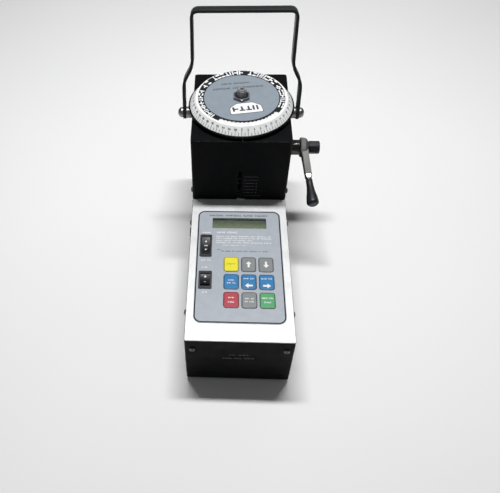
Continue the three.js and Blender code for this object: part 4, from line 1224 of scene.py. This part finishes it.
def power_jack():
    centre = middle("power_jack")
    seat = Vector((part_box("power_jack")[1].x - 2 * MM, centre.y, centre.z))
    corners = [(0, -12), (4, -12), (4, 0), (5.5, 0), (5.5, 2), (2.9, 2), (2.9, -8), (1, -8), (1, 0), (0, 0.3)]
    piece = revolve("jack_socket", soften(corners, 0.35, 2), "power_jack", seat, ALONG_X, steps=48)
    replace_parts(piece, "power_jack")


# ---------------------------------------------------------------- marks on the tower and console


def tower_marks():
    """Seven depth lines with their numbers beside the slot, a stop at its foot, and the dial's index."""
    origin = Vector((MID_X, TOWER_FRONT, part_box("pointer_arm")[1].z))
    pitch, left, thick = 5.45, 5, 0.6
    ends = {0: 23, 1: 23, 6: 28.3}
    lines = []
    for i in range(7):
        right = ends.get(i, 18.7)
        lines.append(bar((left + right) / 2, -pitch * i, right - left, thick))
    ink("depth_lines", lines, "tower_cover", INK_FAINT, origin, FORWARDS)
    places = [(i, FORWARDS @ Vector((21.2, -pitch * i - 1.2, 0)), FORWARDS) for i in range(2, 6)]
    numbers("depth_numbers", places, "tower_cover", INK_FAINT, origin)
    foot = Vector((MID_X, TOWER_FRONT, CONSOLE_TOP))
    outline = [(-2.4, 0.4), (8, 0.4), (8, 0.9), (0.6, 1.3), (-0.6, 2.1), (-2.4, 2.1)]
    prism("slot_stop", outline, 0.0, 0.7, "tower_cover", foot, FORWARDS, [ZINC])
    edge = Vector((MID_X + 1.5 * MM, TOWER_FRONT, TOWER_TOP))
    ink("dial_index", [bar(0, 3.6, 0.6, 4.4)], "tower_cover", INK_WHITE, edge)


def front_marks():
    """Two faint lines of print on the console's front."""
    origin = Vector((MID_X, CONSOLE_FRONT, CONSOLE_TOP))
    lines = letters(-11, -30, 22, 1.8, (3, 5)) + letters(-18, -37.5, 36, 2.2, (5, 4, 6))
    ink("front_print", lines, "console_cover", INK_FAINT, origin, FORWARDS)


# ---------------------------------------------------------------- floor, light and camera


def floor():
    mesh = bpy.data.meshes.new("floor")
    mesh.from_pydata([(x, y, 0) for x, y in bar(0, 0, 12, 12)], [], [(0, 1, 2, 3)])
    n = Nodes("floor")
    tone = n.mix(n.ranged(n.noise(3, 2), 0.0, 1.0), (0.95, 0.95, 0.95), (0.97, 0.97, 0.97))
    mesh.materials.append(n.finish(tone, 0.7))
    plane = bpy.data.objects.new("floor", mesh)
    bpy.context.scene.collection.objects.link(plane)


def area_light(name, place, target, width, length, power):
    light = bpy.data.lights.new(name, "AREA")
    light.shape, light.size, light.size_y = "RECTANGLE", width, length
    light.energy = power
    lamp = bpy.data.objects.new(name, light)
    lamp.location = place
    lamp.rotation_euler = (Vector(target) - Vector(place)).to_track_quat("-Z", "Y").to_euler()
    bpy.context.scene.collection.objects.link(lamp)


def lights():
    """A long strip overhead, a little behind the tower's front, and soft fill from all round."""
    height, behind = 1.4, 0.19
    strip = Vector((MID_X, TOWER_FRONT + behind, CONSOLE_TOP + height))
    aim = (0, 0, 0.1)
    area_light("strip", strip, strip - Vector((0, 0, 1)), 0.71, 0.1, 20)
    area_light("front_fill", (-0.6, -1.6, 1.3), aim, 1.6, 1.2, 0.9)
    area_light("rear_fill", (0.9, 1.5, 1.2), aim, 1.4, 1.0, 1.2)
    world = bpy.data.worlds.new("world")
    world.use_nodes = True
    world.node_tree.nodes["Background"].inputs["Color"].default_value = (1, 1, 1, 1)
    world.node_tree.nodes["Background"].inputs["Strength"].default_value = 0.1
    bpy.context.scene.world = world
    bpy.context.scene.view_settings.view_transform = "Standard"


# The camera stands in front of and above the tower's top front edge, and looks down at the meter.
CAMERA_FROM_EDGE = Vector((-20.4, -518.6, 435.0)) * MM
CAMERA_FORWARD = Vector((-0.0532, 0.6286, -0.7759))
CAMERA_RIGHT = Vector((0.9984, 0.0465, -0.0308))
CAMERA_LENS = 40.8
CAMERA_SHIFT = (0.116, 0.010)


def camera():
    data = bpy.data.cameras.new("camera")
    data.lens, data.sensor_width = CAMERA_LENS, 36
    data.shift_x, data.shift_y = CAMERA_SHIFT
    eye = bpy.data.objects.new("camera", data)
    back = -CAMERA_FORWARD.normalized()
    up = back.cross(CAMERA_RIGHT).normalized()
    right = up.cross(back)
    axes = Matrix((right, up, back)).transposed().to_4x4()
    place = Vector((MID_X, TOWER_FRONT, TOWER_TOP)) + CAMERA_FROM_EDGE
    eye.matrix_world = Matrix.Translation(place) @ axes
    bpy.context.scene.collection.objects.link(eye)
    bpy.context.scene.camera = eye


# ---------------------------------------------------------------- the whole meter

dress()
label_outline()
label_print()
display()
keys()
switches()
dial()
spindle()
plunger()
sample_cup()
crank()
carry_handle()
pivot_bolts()
screws()
feet()
printer_port()
power_jack()
tower_marks()
front_marks()
floor()
lights()
camera()
